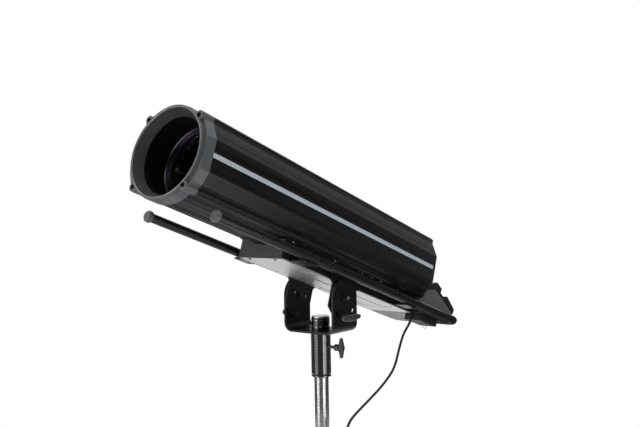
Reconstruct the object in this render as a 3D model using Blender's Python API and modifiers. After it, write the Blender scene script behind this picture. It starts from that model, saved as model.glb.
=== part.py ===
"""Followspot: a long zoom lamp head on a yoke, with the top tube of its stand.

World frame: metres, +Z up along the stand tube, origin at the tube's lower end. The beam
points along -Y and the operator stands on the +Y side. The head is modelled level about its
tilt axis and hangs from an empty that holds the tilt it is stored at.
"""
import math

import bmesh
import bpy
from mathutils import Matrix, Vector

MM = 0.001
GAP = 0.3 * MM

# Stand tube and the sleeve that clamps on it
TUBE_RADIUS = 17.5 * MM
TUBE_WALL = 1.5 * MM
TUBE_SHOWN = 265 * MM
TUBE_INSIDE = 86 * MM
TUBE_PLUG_FLANGE = 3 * MM
TUBE_PLUG_DEPTH = 20 * MM
SLEEVE_RADIUS = 24.25 * MM
SLEEVE_LENGTH = 108 * MM
SLEEVE_CHAMFER = 5 * MM
NECK_RADIUS = 12 * MM
NECK_LENGTH = 30 * MM
HUB_RADIUS = 22.5 * MM
HUB_HEIGHT = 29 * MM
HUB_GROOVE = 1.2 * MM
HUB_DISC_THICK = 3 * MM
SLEEVE_KNOB_DROP = 35.5 * MM

# Yoke
YOKE_HALF_WIDTH = 75.5 * MM
YOKE_HALF_DEPTH = 47 * MM
YOKE_THICK = 5 * MM
YOKE_BEND = 22 * MM
PIVOT_ABOVE_YOKE_BASE = 85 * MM
SLOT_RADIUS = 46 * MM
TILT_HALF_TRAVEL = 45.0
TILT_AT_REST = 18.8

# Pivot bolts, lock knobs and their washers
PIVOT_BOLT_RADIUS = 4 * MM
PIVOT_HEAD_RADIUS = 6.5 * MM
PIVOT_HEAD_HEIGHT = 8 * MM
WASHER_RADIUS = 11.5 * MM
WASHER_THICK = 2 * MM
STUD_RADIUS = 4 * MM
KNOB_BAR_RADIUS = 9 * MM
KNOB_BAR_FLATNESS = 0.67
TILT_KNOB_BAR = 66 * MM
TILT_KNOB_COLLAR = 23 * MM
SLEEVE_KNOB_BAR = 47 * MM
SLEEVE_KNOB_COLLAR = 13 * MM
SLEEVE_KNOB_SCREW_SHOWN = 19 * MM
COLLAR_RADIUS = 7 * MM
ROUND_KNOB_RADIUS = 8.5 * MM
ROUND_KNOB_LENGTH = 18 * MM
ROUND_KNOB_NECK = 11 * MM

# Lamp housing: an extruded section about the optical axis. A place named _BEHIND_HOUSING is
# counted from its rear end.
HOUSING_FRONT = -531 * MM
HOUSING_LENGTH = 851 * MM
HOUSING_REAR = HOUSING_FRONT + HOUSING_LENGTH
HOUSING_RADIUS = 97 * MM
HOUSING_WALL = 3 * MM
HOUSING_CLEARANCE = 63 * MM
AXIS_ABOVE_PIVOT = HOUSING_RADIUS + HOUSING_CLEARANCE
SIDE_PANEL_STEP = 7 * MM
SIDE_PANEL = HOUSING_RADIUS + SIDE_PANEL_STEP
SIDE_PANEL_TOP = HOUSING_RADIUS * 0.33
SIDE_PANEL_BOTTOM = HOUSING_RADIUS * 0.371
SHOULDER_STEP = 6.5 * MM
SHOULDER_OUT = HOUSING_RADIUS - SHOULDER_STEP
SHOULDER_UP = HOUSING_RADIUS * 0.588
LOWER_SHOULDER_STEP = 5 * MM
LOWER_SHOULDER_OUT = HOUSING_RADIUS - LOWER_SHOULDER_STEP
LOWER_SHOULDER_DOWN = HOUSING_RADIUS * 0.639
BOSS_OUT = HOUSING_RADIUS * 0.763
BOSS_UP = HOUSING_RADIUS * 0.7526
BOSS_DOWN = HOUSING_RADIUS * 0.7423
BOSS_RADIUS = 10.5 * MM
RIB_GROOVE_WIDTH = 1.6 * MM
RIB_GROOVE_DEPTH = 1.2 * MM
LOWER_SIDE_GROOVE_COUNT = 4
BOTTOM_GROOVE_COUNT = 9
BOTTOM_GROOVE_ANGLE = 64.0
STRIPE_WIDTH = 10 * MM
STRIPE_DEPTH = 1.2 * MM

# Front bezel, baffle and front lens
BEZEL_LENGTH = 26 * MM
LIP_LENGTH = 8 * MM
EAR_SETBACK = 1.5 * MM
LIP_STEP = 3.5 * MM
LIP_RADIUS = HOUSING_RADIUS + LIP_STEP
LIP_WALL = 3.4 * MM
BEZEL_STEP = 1.2 * MM
BAFFLE_MOUTH_WALL = 1.3 * MM
BAFFLE_CONE_LENGTH = 20 * MM
BAFFLE_STEPS = 4
BARREL_STEP = 13 * MM
BARREL_RADIUS = HOUSING_RADIUS - BARREL_STEP
BARREL_WALL = 2 * MM
LENS_RING_SETBACK = 84 * MM
LENS_RING_LENGTH = 14 * MM
LENS_RING_LIP = 4 * MM
LENS_EDGE = 5 * MM
LENS_CROWN = 14 * MM
REAR_CAP_LENGTH = 10 * MM

# Optics and lamp inside the housing, placed along the optical axis
GUIDE_ROD_RADIUS = 5 * MM
GUIDE_ROD_STEP = 29 * MM
GUIDE_ROD_OUT = HOUSING_RADIUS - GUIDE_ROD_STEP
CARRIAGE_AT = -330 * MM
CARRIAGE_STEP = 9 * MM
CARRIAGE_RADIUS = HOUSING_RADIUS - CARRIAGE_STEP
CARRIAGE_THICK = 12 * MM
ZOOM_LENS_RADIUS = 52 * MM
ZOOM_LENS_EDGE = 4 * MM
ZOOM_LENS_CROWN = 8 * MM
GATE_AT = -40 * MM
GATE_THICK = 8 * MM
GATE_OPENING = 22 * MM
LED_PLATE_AT = 20 * MM
LED_PLATE_THICK = 8 * MM
LED_HALF_SIZE = 22 * MM
LED_THICK = 3 * MM
FIN_COUNT = 9
FIN_THICK = 3 * MM
FIN_PITCH = 12 * MM
FIN_HALF_HEIGHT = 50 * MM
FIN_LENGTH = 70 * MM
FAN_HUB_RADIUS = 18 * MM
FAN_RADIUS = 56 * MM
FAN_LENGTH = 20 * MM
FAN_BLADES = 7
BLADE_THICK = 1.6 * MM
BLADE_LEAN = 32.0
FAN_FRAME_THICK = 26 * MM
FAN_OPENING = 58 * MM

# Chassis under the housing, heights above the tilt axis
CHANNEL_FRONT = -234 * MM
CHANNEL_BEHIND_HOUSING = -15 * MM
CHANNEL_STEP = 11.5 * MM
CHANNEL_HALF_WIDTH = YOKE_HALF_WIDTH - CHANNEL_STEP
SHEET = 2 * MM
CHANNEL_FLANGE = 12 * MM
BASE_PLATE_BOTTOM = 31 * MM
BASE_PLATE_THICK = 3 * MM
PLATE_GROOVE_DEPTH = 1 * MM
PLATE_GROOVE_IN = 10 * MM
PLATE_GROOVE_OUT = 46 * MM
PLATE_GROOVE_FRONT = -75 * MM
PLATE_GROOVE_BEHIND_HOUSING = -70 * MM
FRONT_BRACKET_TOP = 77 * MM
FRONT_BRACKET_LIP = 20 * MM

# Head bracket plates that the pivot bolts pass through
BRACKET_THICK = 4 * MM
BRACKET_HALF_WIDTH = 46 * MM
BRACKET_TOP_HALF_WIDTH = 58 * MM
BRACKET_TOP = 60 * MM
BRACKET_FLARE_FROM = 18 * MM
BRACKET_TAPER_FROM = -31 * MM
BRACKET_TONGUE_RADIUS = 14 * MM
BOSS_DISC_RADIUS = 28 * MM

# Side rails, front rods and rear handle
RAIL_OUT = 100 * MM
RAIL_UP = 49.5 * MM
RAIL_RADIUS = 10.5 * MM
RAIL_WALL = 2 * MM
RAIL_FRONT = -165 * MM
RAIL_BEHIND_HOUSING = -42 * MM
ROD_RADIUS = 10 * MM
ROD_FRONT = -482 * MM
ROD_SPIGOT = 30 * MM
ROD_COLLAR_LENGTH = 7 * MM
ROD_CAP_RADIUS = 13 * MM
ROD_CAP_LENGTH = 9 * MM
ROD_CAP_STEM = 14 * MM
HANDLE_RADIUS = 11 * MM
HANDLE_BEND = 28 * MM
HANDLE_BEHIND_HOUSING = 172 * MM
CLAMP_LENGTH = 47 * MM
FRONT_CLAMPS_AT = -182 * MM
REAR_CLAMPS_BEHIND_HOUSING = -76 * MM
CLAMP_THICK = 4.2 * MM
CLAMP_TAB = 22 * MM

# Rear tray, control box and its panel
TRAY_TONGUE_BEHIND_HOUSING = -70 * MM
TRAY_BEHIND_HOUSING = 156 * MM
BOX_HALF_WIDTH = 72 * MM
BOX_WALL = 2 * MM
BOX_FRONT_TOP = 100 * MM
PANEL_TOP_BEHIND_HOUSING = 82.5 * MM
PANEL_TOP_UP = 117.5 * MM
PANEL_FOOT_BEHIND_HOUSING = 185 * MM
PANEL_FOOT_UP = 73.5 * MM
BOX_HEEL_UP = 64 * MM
PANEL_THICK = 9 * MM
HOOD_FRONT_BEHIND_HOUSING = 40 * MM
HOOD_NOSE_BEHIND_HOUSING = 52 * MM
HOOD_NOSE_HEIGHT = 15 * MM
HOOD_START = -5 * MM
HOOD_LENGTH = 30 * MM
HOOD_HEIGHT = 21 * MM
REST_START = 63 * MM
REST_HEIGHT = 23 * MM
REST_END_HEIGHT = 16.5 * MM
REST_OVERHANG = 5 * MM
DISPLAY_HALF_WIDTH = 26 * MM
DISPLAY_LENGTH = 16 * MM
DISPLAY_OUT = -BOX_HALF_WIDTH / 3
DISPLAY_THICK = 1.5 * MM
BUTTON_RADIUS = 4.5 * MM
BUTTON_HEIGHT = 2.6 * MM
BUTTON_TRAVEL = 1.2 * MM
BUTTONS_IN = 52 * MM
BUTTONS_FROM = BOX_HALF_WIDTH - BUTTONS_IN
BUTTON_PITCH = 12.5 * MM
BUTTON_COUNT = 4
BUTTON_STEM = 3 * MM
DIAL_RADIUS = 9 * MM
DIAL_HEIGHT = 11 * MM
DIAL_IN = 46 * MM
DIAL_OUT = BOX_HALF_WIDTH - DIAL_IN
DIAL_STEM_RADIUS = 3 * MM
DIAL_STEM = 7 * MM

# Socket box under the tray, with the mains gland beside it
SOCKET_BOX_BEHIND_HOUSING = 25 * MM
SOCKET_BOX_LENGTH = 82 * MM
SOCKET_BOX_WIDTH = 52 * MM
SOCKET_BOX_STEP = 4 * MM
SOCKET_BOX_OUT = BOX_HALF_WIDTH + SOCKET_BOX_STEP
SOCKET_BOX_IN = SOCKET_BOX_OUT - SOCKET_BOX_WIDTH
SOCKET_BOX_HEIGHT = 17 * MM
XLR_RADIUS = 7.6 * MM
XLR_PROUD = 6 * MM
XLR_BORE = 5.8 * MM
XLR_DEPTH = 10 * MM
SWITCH_HALF_WIDTH = 5 * MM
SWITCH_HALF_HEIGHT = 5 * MM
SWITCH_PROUD = 3 * MM
SWITCH_DEPTH = 6 * MM
SWITCH_HALF_THROW = 8.0
EYE_BEHIND_HOUSING = 64 * MM
EYE_IN = 6 * MM
EYE_OUT = BOX_HALF_WIDTH - EYE_IN
EYE_WIRE = 1 * MM
EYE_RADIUS = 2.6 * MM
RING_WIRE = 0.8 * MM
RING_RADIUS = 4.8 * MM
GLAND_BEHIND_HOUSING = -8 * MM
GLAND_OUT = 70 * MM
GLAND_FLANGE_RADIUS = 8 * MM
GLAND_FLANGE = 3 * MM
GLAND_STEM_RADIUS = 5 * MM
RELIEF_LENGTH = 22 * MM
RELIEF_LEAN = 18.0
RELIEF_TOP_RADIUS = 5.4 * MM
RELIEF_END_RADIUS = 4 * MM

# Mains cord: its points are chosen by hand, in millimetres from where it leaves the relief
CORD_RADIUS = 3.1 * MM
CORD_ROUTE = (
    (0.5, -16.7, -16.6),
    (1.0, -36.7, -33.5),
    (3.0, -53.2, -53.0),
    (6.0, -68.8, -72.6),
    (9.0, -85.3, -95.5),
    (12.5, -103.6, -111.9),
    (15.5, -123.7, -123.8),
    (18.5, -149.7, -135.8),
    (21.0, -174.4, -145.9),
    (23.5, -198.7, -154.4),
    (25.5, -222.1, -162.3),
    (26.5, -243.8, -170.2),
    (27.5, -265.1, -178.0),
    (28.0, -284.1, -185.6),
    (28.0, -299.7, -192.9),
    (28.0, -312.7, -202.1),
    (28.0, -321.7, -214.1),
    (28.0, -326.2, -228.1),
    (28.0, -327.2, -243.1),
)
COIL_MEAN_RADIUS = 11 * CORD_RADIUS
COIL_COUNT_WIDE = 3
COIL_COUNT_DEEP = 2
PLUG_RADIUS = 15 * MM
PLUG_LENGTH = 30 * MM
PLUG_RELIEF = 22 * MM
PIN_RADIUS = 2.4 * MM
PIN_LENGTH = 19 * MM
PIN_SPACING = 9.5 * MM

# Smoothness of round pieces
FINE_STEPS = 36
MEDIUM_STEPS = 20
SMALL_STEPS = 14
TINY_STEPS = 10

# Places that follow from the sizes above
SLEEVE_BOTTOM = TUBE_SHOWN
SLEEVE_TOP = SLEEVE_BOTTOM + SLEEVE_LENGTH
YOKE_BOTTOM = SLEEVE_TOP + GAP
YOKE_BASE_TOP = YOKE_BOTTOM + YOKE_THICK
PIVOT_HEIGHT = YOKE_BOTTOM + PIVOT_ABOVE_YOKE_BASE
HUB_BOTTOM = YOKE_BASE_TOP + GAP
YOKE_INNER = YOKE_HALF_WIDTH - YOKE_THICK
CHANNEL_REAR = HOUSING_REAR + CHANNEL_BEHIND_HOUSING
PLATE_GROOVE_REAR = HOUSING_REAR + PLATE_GROOVE_BEHIND_HOUSING
RAIL_REAR = HOUSING_REAR + RAIL_BEHIND_HOUSING
HANDLE_REAR = HOUSING_REAR + HANDLE_BEHIND_HOUSING
TRAY_TONGUE_FROM = HOUSING_REAR + TRAY_TONGUE_BEHIND_HOUSING
TRAY_REAR = HOUSING_REAR + TRAY_BEHIND_HOUSING
PANEL_TOP_AT = HOUSING_REAR + PANEL_TOP_BEHIND_HOUSING
PANEL_FOOT_AT = HOUSING_REAR + PANEL_FOOT_BEHIND_HOUSING
HOOD_FRONT = HOUSING_REAR + HOOD_FRONT_BEHIND_HOUSING
HOOD_NOSE_AT = HOUSING_REAR + HOOD_NOSE_BEHIND_HOUSING
SOCKET_BOX_FROM = HOUSING_REAR + SOCKET_BOX_BEHIND_HOUSING
EYE_AT = HOUSING_REAR + EYE_BEHIND_HOUSING
GLAND_AT = HOUSING_REAR + GLAND_BEHIND_HOUSING
CLAMPS_AT = (FRONT_CLAMPS_AT, HOUSING_REAR + REAR_CLAMPS_BEHIND_HOUSING)
BEZEL_FRONT = HOUSING_FRONT - GAP - BEZEL_LENGTH
BAFFLE_OUTER = LIP_RADIUS - LIP_WALL - GAP
BULKHEAD_RADIUS = HOUSING_RADIUS - HOUSING_WALL - GAP
LENS_RING_FRONT = BEZEL_FRONT + LENS_RING_SETBACK
GATE_REAR = GATE_AT + GATE_THICK
BASE_PLATE_TOP = BASE_PLATE_BOTTOM + BASE_PLATE_THICK
WEB_BOTTOM = BASE_PLATE_TOP + GAP
WEB_TOP = WEB_BOTTOM + SHEET
CHANNEL_TOP = AXIS_ABOVE_PIVOT - BOSS_DOWN - BOSS_RADIUS - GAP
BRACKET_IN = CHANNEL_HALF_WIDTH + GAP
BRACKET_OUT = BRACKET_IN + BRACKET_THICK
TRAY_BOTTOM = WEB_TOP + GAP
TRAY_TOP = TRAY_BOTTOM + SHEET
TRAY_HALF_WIDTH = RAIL_OUT - HANDLE_RADIUS - GAP
BOX_FRONT = HOUSING_REAR + REAR_CAP_LENGTH + 2 * GAP
BOX_BOTTOM = TRAY_TOP + GAP
CLAMP_TOP = RAIL_UP - RAIL_RADIUS - GAP
PANEL_SLOPE = math.atan2(PANEL_TOP_UP - PANEL_FOOT_UP, PANEL_FOOT_AT - PANEL_TOP_AT)
PANEL_RUN = math.hypot(PANEL_FOOT_AT - PANEL_TOP_AT, PANEL_TOP_UP - PANEL_FOOT_UP)

ALONG_Y = (math.pi / 2, 0, 0)
ALONG_X = (math.pi / 2, 0, math.pi / 2)
AXIS_TO_PLUS_X = (0, math.pi / 2, 0)
AXIS_TO_MINUS_X = (0, -math.pi / 2, 0)


def clear_scene():
    """Remove whatever the open file holds."""
    for item in list(bpy.data.objects):
        bpy.data.objects.remove(item, do_unlink=True)


def new_collection(name):
    """Make a collection under the scene."""
    group = bpy.data.collections.new(name)
    bpy.context.scene.collection.children.link(group)
    return group


def make_material(name, color, roughness, metallic=0.0, transmission=0.0):
    """Make one Principled BSDF material."""
    material = bpy.data.materials.new(name)
    material.use_nodes = True
    shader = material.node_tree.nodes["Principled BSDF"]
    shader.inputs["Base Color"].default_value = (*color, 1.0)
    shader.inputs["Roughness"].default_value = roughness
    shader.inputs["Metallic"].default_value = metallic
    shader.inputs["Transmission Weight"].default_value = transmission
    material.diffuse_color = (*color, 1.0)
    return material


clear_scene()
PARTS = new_collection("followspot")
CUTTERS = new_collection("cutters")

BLACK_PAINT = make_material("black_paint", (0.018, 0.018, 0.019), 0.42)
HOUSING_BLACK = make_material("housing_black", (0.022, 0.021, 0.021), 0.35, 0.3)
BEZEL_GREY = make_material("bezel_grey", (0.11, 0.11, 0.115), 0.5)
BAFFLE_GREY = make_material("baffle_grey", (0.05, 0.05, 0.052), 0.6)
PLATE_SILVER = make_material("plate_silver", (0.6, 0.6, 0.6), 0.3, 0.9)
BRACKET_GREY = make_material("bracket_grey", (0.075, 0.075, 0.078), 0.45)
PANEL_GREY = make_material("box_grey", (0.1, 0.1, 0.105), 0.5)
BLACK_PLASTIC = make_material("black_plastic", (0.02, 0.02, 0.02), 0.5)
KNOB_GREY = make_material("knob_grey", (0.06, 0.06, 0.06), 0.5)
STEEL = make_material("steel", (0.6, 0.6, 0.6), 0.25, 1.0)
TUBE_STEEL = make_material("tube_steel", (0.5, 0.48, 0.46), 0.2, 1.0)
GLASS = make_material("lens_glass", (0.85, 0.85, 0.95), 0.02, 0.0, 1.0)
CORD_RUBBER = make_material("cord_rubber", (0.03, 0.03, 0.03), 0.6)
DISPLAY_GLASS = make_material("display_glass", (0.02, 0.05, 0.09), 0.1)


def add_empty(name, location, rotation=(0, 0, 0), parent=None):
    """Add an empty that carries other objects."""
    empty = bpy.data.objects.new(name, None)
    PARTS.objects.link(empty)
    empty.location = location
    empty.rotation_euler = rotation
    empty.parent = parent
    return empty


HEAD = add_empty("head_tilt", (0, 0, PIVOT_HEIGHT), (-math.radians(TILT_AT_REST), 0, 0))
YOKE = add_empty("yoke_pan", (0, 0, 0))


def place(item, location=(0, 0, 0), rotation=(0, 0, 0), parent=None):
    """Set an object's place under its parent."""
    item.location = location
    item.rotation_euler = rotation
    item.parent = parent
    return item


def as_cutter(item):
    """Turn an object into a hidden cutter."""
    for group in list(item.users_collection):
        group.objects.unlink(item)
    CUTTERS.objects.link(item)
    item.display_type = "WIRE"
    item.hide_render = True
    return item


def combine(target, other, operation):
    """Join, cut or trim the target with another solid by an exact Boolean."""
    as_cutter(other)
    modifier = target.modifiers.new(other.name, "BOOLEAN")
    modifier.operation = operation
    modifier.solver = "EXACT"
    modifier.object = other
    return target


def mesh_object(name, mesh, material):
    """Link a mesh as a named object with one material."""
    item = bpy.data.objects.new(name, mesh)
    mesh.materials.clear()
    mesh.materials.append(material)
    PARTS.objects.link(item)
    return item


def smooth(item, angle=35):
    """Shade a round piece smooth, keeping its sharp edges."""
    item.data.shade_smooth()
    item.data.set_sharp_from_angle(angle=math.radians(angle))
    return item


def solid_from_curve(name, curve, material):
    """Turn a curve object's filled body into one welded mesh."""
    item = bpy.data.objects.new(name, curve)
    PARTS.objects.link(item)
    bpy.context.view_layer.update()
    graph = bpy.context.evaluated_depsgraph_get()
    mesh = bpy.data.meshes.new_from_object(item.evaluated_get(graph))
    bpy.data.objects.remove(item)
    work = bmesh.new()
    work.from_mesh(mesh)
    bmesh.ops.remove_doubles(work, verts=work.verts, dist=0.02 * MM)
    bmesh.ops.recalc_face_normals(work, faces=work.faces)
    work.to_mesh(mesh)
    work.free()
    mesh.name = name
    return mesh_object(name, mesh, material)


def extruded(name, outlines, depth, material):
    """Extrude closed outlines (the first is the outside) to a depth centred on local Z."""
    curve = bpy.data.curves.new(name, "CURVE")
    curve.dimensions = "2D"
    curve.fill_mode = "BOTH"
    curve.extrude = depth / 2
    for outline in outlines:
        spline = curve.splines.new("POLY")
        spline.points.add(len(outline) - 1)
        for point, (x, y) in zip(spline.points, outline):
            point.co = (x, y, 0, 1)
        spline.use_cyclic_u = True
    return solid_from_curve(name, curve, material)


def turned(name, profile, material, steps=MEDIUM_STEPS, closed=False):
    """Turn a profile of (radius, height) points about local Z."""
    mesh = bpy.data.meshes.new(name)
    edges = [(i, i + 1) for i in range(len(profile) - 1)]
    if closed:
        edges.append((len(profile) - 1, 0))
    mesh.from_pydata([(r, 0, z) for r, z in profile], edges, [])
    item = mesh_object(name, mesh, material)
    modifier = item.modifiers.new("turn", "SCREW")
    modifier.axis = "Z"
    modifier.angle = 2 * math.pi
    modifier.steps = steps
    modifier.render_steps = steps
    modifier.use_merge_vertices = True
    modifier.merge_threshold = 0.01 * MM
    bpy.context.view_layer.update()
    graph = bpy.context.evaluated_depsgraph_get()
    solid = bpy.data.meshes.new_from_object(item.evaluated_get(graph))
    item.modifiers.clear()
    item.data = solid
    bpy.data.meshes.remove(mesh)
    solid.name = name
    return smooth(item)


def cylinder(name, radius, low, high, material, steps=SMALL_STEPS):
    """A plain turned cylinder between two heights on local Z."""
    return turned(name, [(0, high), (radius, high), (radius, low), (0, low)], material, steps)


def box(name, size, material):
    """A box of a size, centred on its origin."""
    mesh = bpy.data.meshes.new(name)
    work = bmesh.new()
    bmesh.ops.create_cube(work, size=1.0, matrix=Matrix.Diagonal((*size, 1.0)))
    work.to_mesh(mesh)
    work.free()
    return mesh_object(name, mesh, material)


def arc(centre, radius, start, end, count):
    """Points on a circle from one angle to another, in degrees, both ends included."""
    points = []
    for i in range(count + 1):
        angle = math.radians(start + (end - start) * i / count)
        points.append((centre[0] + radius * math.cos(angle), centre[1] + radius * math.sin(angle)))
    return points


def circle(centre, radius, count=TINY_STEPS):
    """A closed circle outline."""
    return arc(centre, radius, 0, 360 - 360 / count, count - 1)


def rectangle(low, high):
    """A closed rectangle outline between two corners."""
    return [(low[0], low[1]), (high[0], low[1]), (high[0], high[1]), (low[0], high[1])]


def grooved_line(start, end, count):
    """A line walked clockwise round a section, with square grooves cut into its right side."""
    a = Vector(start)
    b = Vector(end)
    run = (b - a).normalized()
    inward = Vector((run.y, -run.x)) * RIB_GROOVE_DEPTH
    points = [tuple(a)]
    for i in range(count):
        middle = a.lerp(b, (i + 1) / (count + 1))
        first = middle - run * RIB_GROOVE_WIDTH / 2
        last = middle + run * RIB_GROOVE_WIDTH / 2
        points += [tuple(first), tuple(first + inward), tuple(last + inward), tuple(last)]
    points.append(tuple(b))
    return points


def grooved_arc(radius, start, end, count, spread):
    """An arc about the origin with grooves spread about its middle."""
    half = math.degrees(RIB_GROOVE_WIDTH / 2 / radius)
    middle = -90.0
    points = arc((0, 0), radius, start, middle + spread / 2 + 2, 4)
    for i in range(count):
        angle = middle + spread * (0.5 - i / (count - 1))
        points += arc((0, 0), radius, angle + half, angle + half, 1)[:1]
        points += arc((0, 0), radius - RIB_GROOVE_DEPTH, angle + half, angle - half, 1)
        points += arc((0, 0), radius, angle - half, angle - half, 1)[:1]
    points += arc((0, 0), radius, middle - spread / 2 - 2, end, 4)
    return points


def housing_outline(radius, detailed=False):
    """Outside of a housing section about the optical axis, clockwise from the top."""
    side = SIDE_PANEL
    upper = [(SHOULDER_OUT, SHOULDER_UP), (side, SIDE_PANEL_TOP)]
    if detailed:
        groove = STRIPE_WIDTH / 2 + GAP
        floor = side - STRIPE_DEPTH
        upper = grooved_line(*upper, 1)
        stripe = [(side, groove), (floor, groove), (floor, -groove), (side, -groove)]
        lower = grooved_line((side, -SIDE_PANEL_BOTTOM),
                             (LOWER_SHOULDER_OUT, -LOWER_SHOULDER_DOWN), LOWER_SIDE_GROOVE_COUNT)
    else:
        stripe = []
        lower = [(side, -SIDE_PANEL_BOTTOM), (LOWER_SHOULDER_OUT, -LOWER_SHOULDER_DOWN)]
    inside = BOSS_OUT - BOSS_RADIUS - GAP
    edge = math.degrees(math.acos(inside / radius))
    meets = math.sqrt(radius * radius - inside * inside)
    high = 180 - math.degrees(math.asin((meets - BOSS_UP) / BOSS_RADIUS))
    low = math.degrees(math.asin((meets - BOSS_DOWN) / BOSS_RADIUS)) - 180
    right = arc((BOSS_OUT, BOSS_UP), BOSS_RADIUS, high, -25, 8) + upper + stripe + lower
    right += arc((BOSS_OUT, -BOSS_DOWN), BOSS_RADIUS, 25, low, 8)
    left = [(-x, y) for x, y in reversed(right)]
    top = arc((0, 0), radius, 180 - edge, edge, 16)
    if detailed:
        bottom = grooved_arc(radius, -edge, edge - 180, BOTTOM_GROOVE_COUNT, BOTTOM_GROOVE_ANGLE)
    else:
        bottom = arc((0, 0), radius, -edge, edge - 180, 16)
    return top + right + bottom + left


def housing_hollow():
    """Inside of the housing's section, a wall's thickness in from the outline."""
    radius = HOUSING_RADIUS - HOUSING_WALL
    wall = HOUSING_WALL
    right = [(SHOULDER_OUT - wall, SHOULDER_UP - wall / 2), (SIDE_PANEL - wall, SIDE_PANEL_TOP - wall / 2),
             (SIDE_PANEL - wall, wall / 2 - SIDE_PANEL_BOTTOM),
             (LOWER_SHOULDER_OUT - wall, wall / 2 - LOWER_SHOULDER_DOWN)]
    left = [(-x, y) for x, y in reversed(right)]
    top = arc((0, 0), radius, 130, 50, 16)
    bottom = arc((0, 0), radius, -50, -130, 16)
    return top + right + bottom + left


def side_solid(name, outlines, front, rear, material, height=0.0):
    """Extrude outlines drawn in (across, up) from a front to a rear place on the head."""
    item = extruded(name, outlines, rear - front, material)
    return place(item, (0, (front + rear) / 2, height), ALONG_Y, HEAD)


def plate_across(name, outlines, near, far, material, parent=HEAD):
    """Extrude outlines drawn in (back, up) between two distances along X."""
    item = extruded(name, outlines, abs(far - near), material)
    return place(item, ((near + far) / 2, 0, 0), ALONG_X, parent)


def flat_plate(name, outlines, low, high, material):
    """Extrude outlines drawn in (across, back) between two heights on the head."""
    item = extruded(name, outlines, high - low, material)
    return place(item, (0, 0, (low + high) / 2), (0, 0, 0), HEAD)


def optic(name, profile, back_at, material, steps=FINE_STEPS, closed=False):
    """Turn a profile about the optical axis, with its height pointing to the front."""
    item = turned(name, profile, material, steps, closed)
    return place(item, (0, back_at, AXIS_ABOVE_PIVOT), ALONG_Y, HEAD)


def build_stand():
    """Stand tube, its end plug, the clamping sleeve and the hub the yoke turns on."""
    inner = TUBE_RADIUS - TUBE_WALL
    tube_low = TUBE_PLUG_FLANGE + GAP
    tube_top = SLEEVE_BOTTOM + TUBE_INSIDE
    turned("stand_tube", [(inner, tube_top), (TUBE_RADIUS, tube_top), (TUBE_RADIUS, tube_low),
                          (inner, tube_low)], TUBE_STEEL, FINE_STEPS, closed=True)
    core = inner - GAP
    turned("tube_plug", [(0, TUBE_PLUG_DEPTH), (core, TUBE_PLUG_DEPTH), (core, TUBE_PLUG_FLANGE),
                         (TUBE_RADIUS, TUBE_PLUG_FLANGE), (TUBE_RADIUS, 0), (0, 0)],
           BLACK_PLASTIC, MEDIUM_STEPS)
    bore = TUBE_RADIUS + GAP
    bore_top = tube_top + GAP
    neck_top = SLEEVE_TOP + NECK_LENGTH
    sleeve = turned("sleeve", [
        (0, neck_top), (NECK_RADIUS, neck_top), (NECK_RADIUS, SLEEVE_TOP), (SLEEVE_RADIUS, SLEEVE_TOP),
        (SLEEVE_RADIUS, SLEEVE_BOTTOM + SLEEVE_CHAMFER * 1.5),
        (SLEEVE_RADIUS - SLEEVE_CHAMFER, SLEEVE_BOTTOM),
        (bore, SLEEVE_BOTTOM), (bore, bore_top), (0, bore_top)], BLACK_PAINT, FINE_STEPS)
    hole = cylinder("sleeve_screw_hole", STUD_RADIUS + GAP, 0, 2 * SLEEVE_RADIUS, STEEL, SMALL_STEPS)
    place(hole, (0, 0, SLEEVE_TOP - SLEEVE_KNOB_DROP), AXIS_TO_PLUS_X)
    combine(sleeve, hole, "DIFFERENCE")

    bore = NECK_RADIUS + GAP
    top = HUB_BOTTOM + HUB_HEIGHT
    groove = HUB_BOTTOM + HUB_HEIGHT * 0.3
    roof = neck_top + GAP
    turned("hub_nut", [
        (0, top), (HUB_RADIUS - HUB_GROOVE, top), (HUB_RADIUS, top - HUB_GROOVE),
        (HUB_RADIUS, groove + HUB_GROOVE), (HUB_RADIUS - HUB_GROOVE, groove),
        (HUB_RADIUS, groove - HUB_GROOVE), (HUB_RADIUS, HUB_BOTTOM), (bore, HUB_BOTTOM), (bore, roof),
        (0, roof)], BLACK_PAINT, FINE_STEPS)
    disc_low = top + GAP
    disc_top = disc_low + HUB_DISC_THICK
    rim = HUB_RADIUS - HUB_GROOVE
    turned("hub_disc", [(0, disc_top), (rim - HUB_GROOVE, disc_top), (rim, disc_top - HUB_GROOVE),
                        (rim, disc_low), (0, disc_low)], STEEL, FINE_STEPS)


def t_knob(name, collar, screw_back, bar, collar_radius):
    """A T-handle screw along local Z: stud below zero, collar, hub and cross bar above it."""
    hub = KNOB_BAR_RADIUS * 0.85
    half_bar = KNOB_BAR_RADIUS * KNOB_BAR_FLATNESS
    top = collar + 2 * half_bar
    edge = hub * 0.2
    knob = turned(name, [
        (0, top), (hub - edge, top), (hub, top - edge), (hub, collar), (collar_radius, collar),
        (collar_radius, edge), (collar_radius - edge, 0), (STUD_RADIUS, 0), (STUD_RADIUS, -screw_back),
        (0, -screw_back)], KNOB_GREY, SMALL_STEPS)
    half = bar / 2
    thin = KNOB_BAR_RADIUS * 0.5
    cross = turned(name + "_bar", [
        (0, half), (thin, half), (KNOB_BAR_RADIUS * 0.85, half * 0.5), (KNOB_BAR_RADIUS, half * 0.2),
        (KNOB_BAR_RADIUS, -half * 0.2), (KNOB_BAR_RADIUS * 0.85, -half * 0.5), (thin, -half),
        (0, -half)], KNOB_GREY, SMALL_STEPS)
    cross.data.transform(Matrix.Diagonal((1, KNOB_BAR_FLATNESS, 1, 1)))
    cross.data.transform(Matrix.Rotation(math.pi / 2, 4, "X"))
    cross.data.transform(Matrix.Translation((0, 0, collar + half_bar)))
    combine(knob, cross, "UNION")
    return knob, cross


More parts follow.
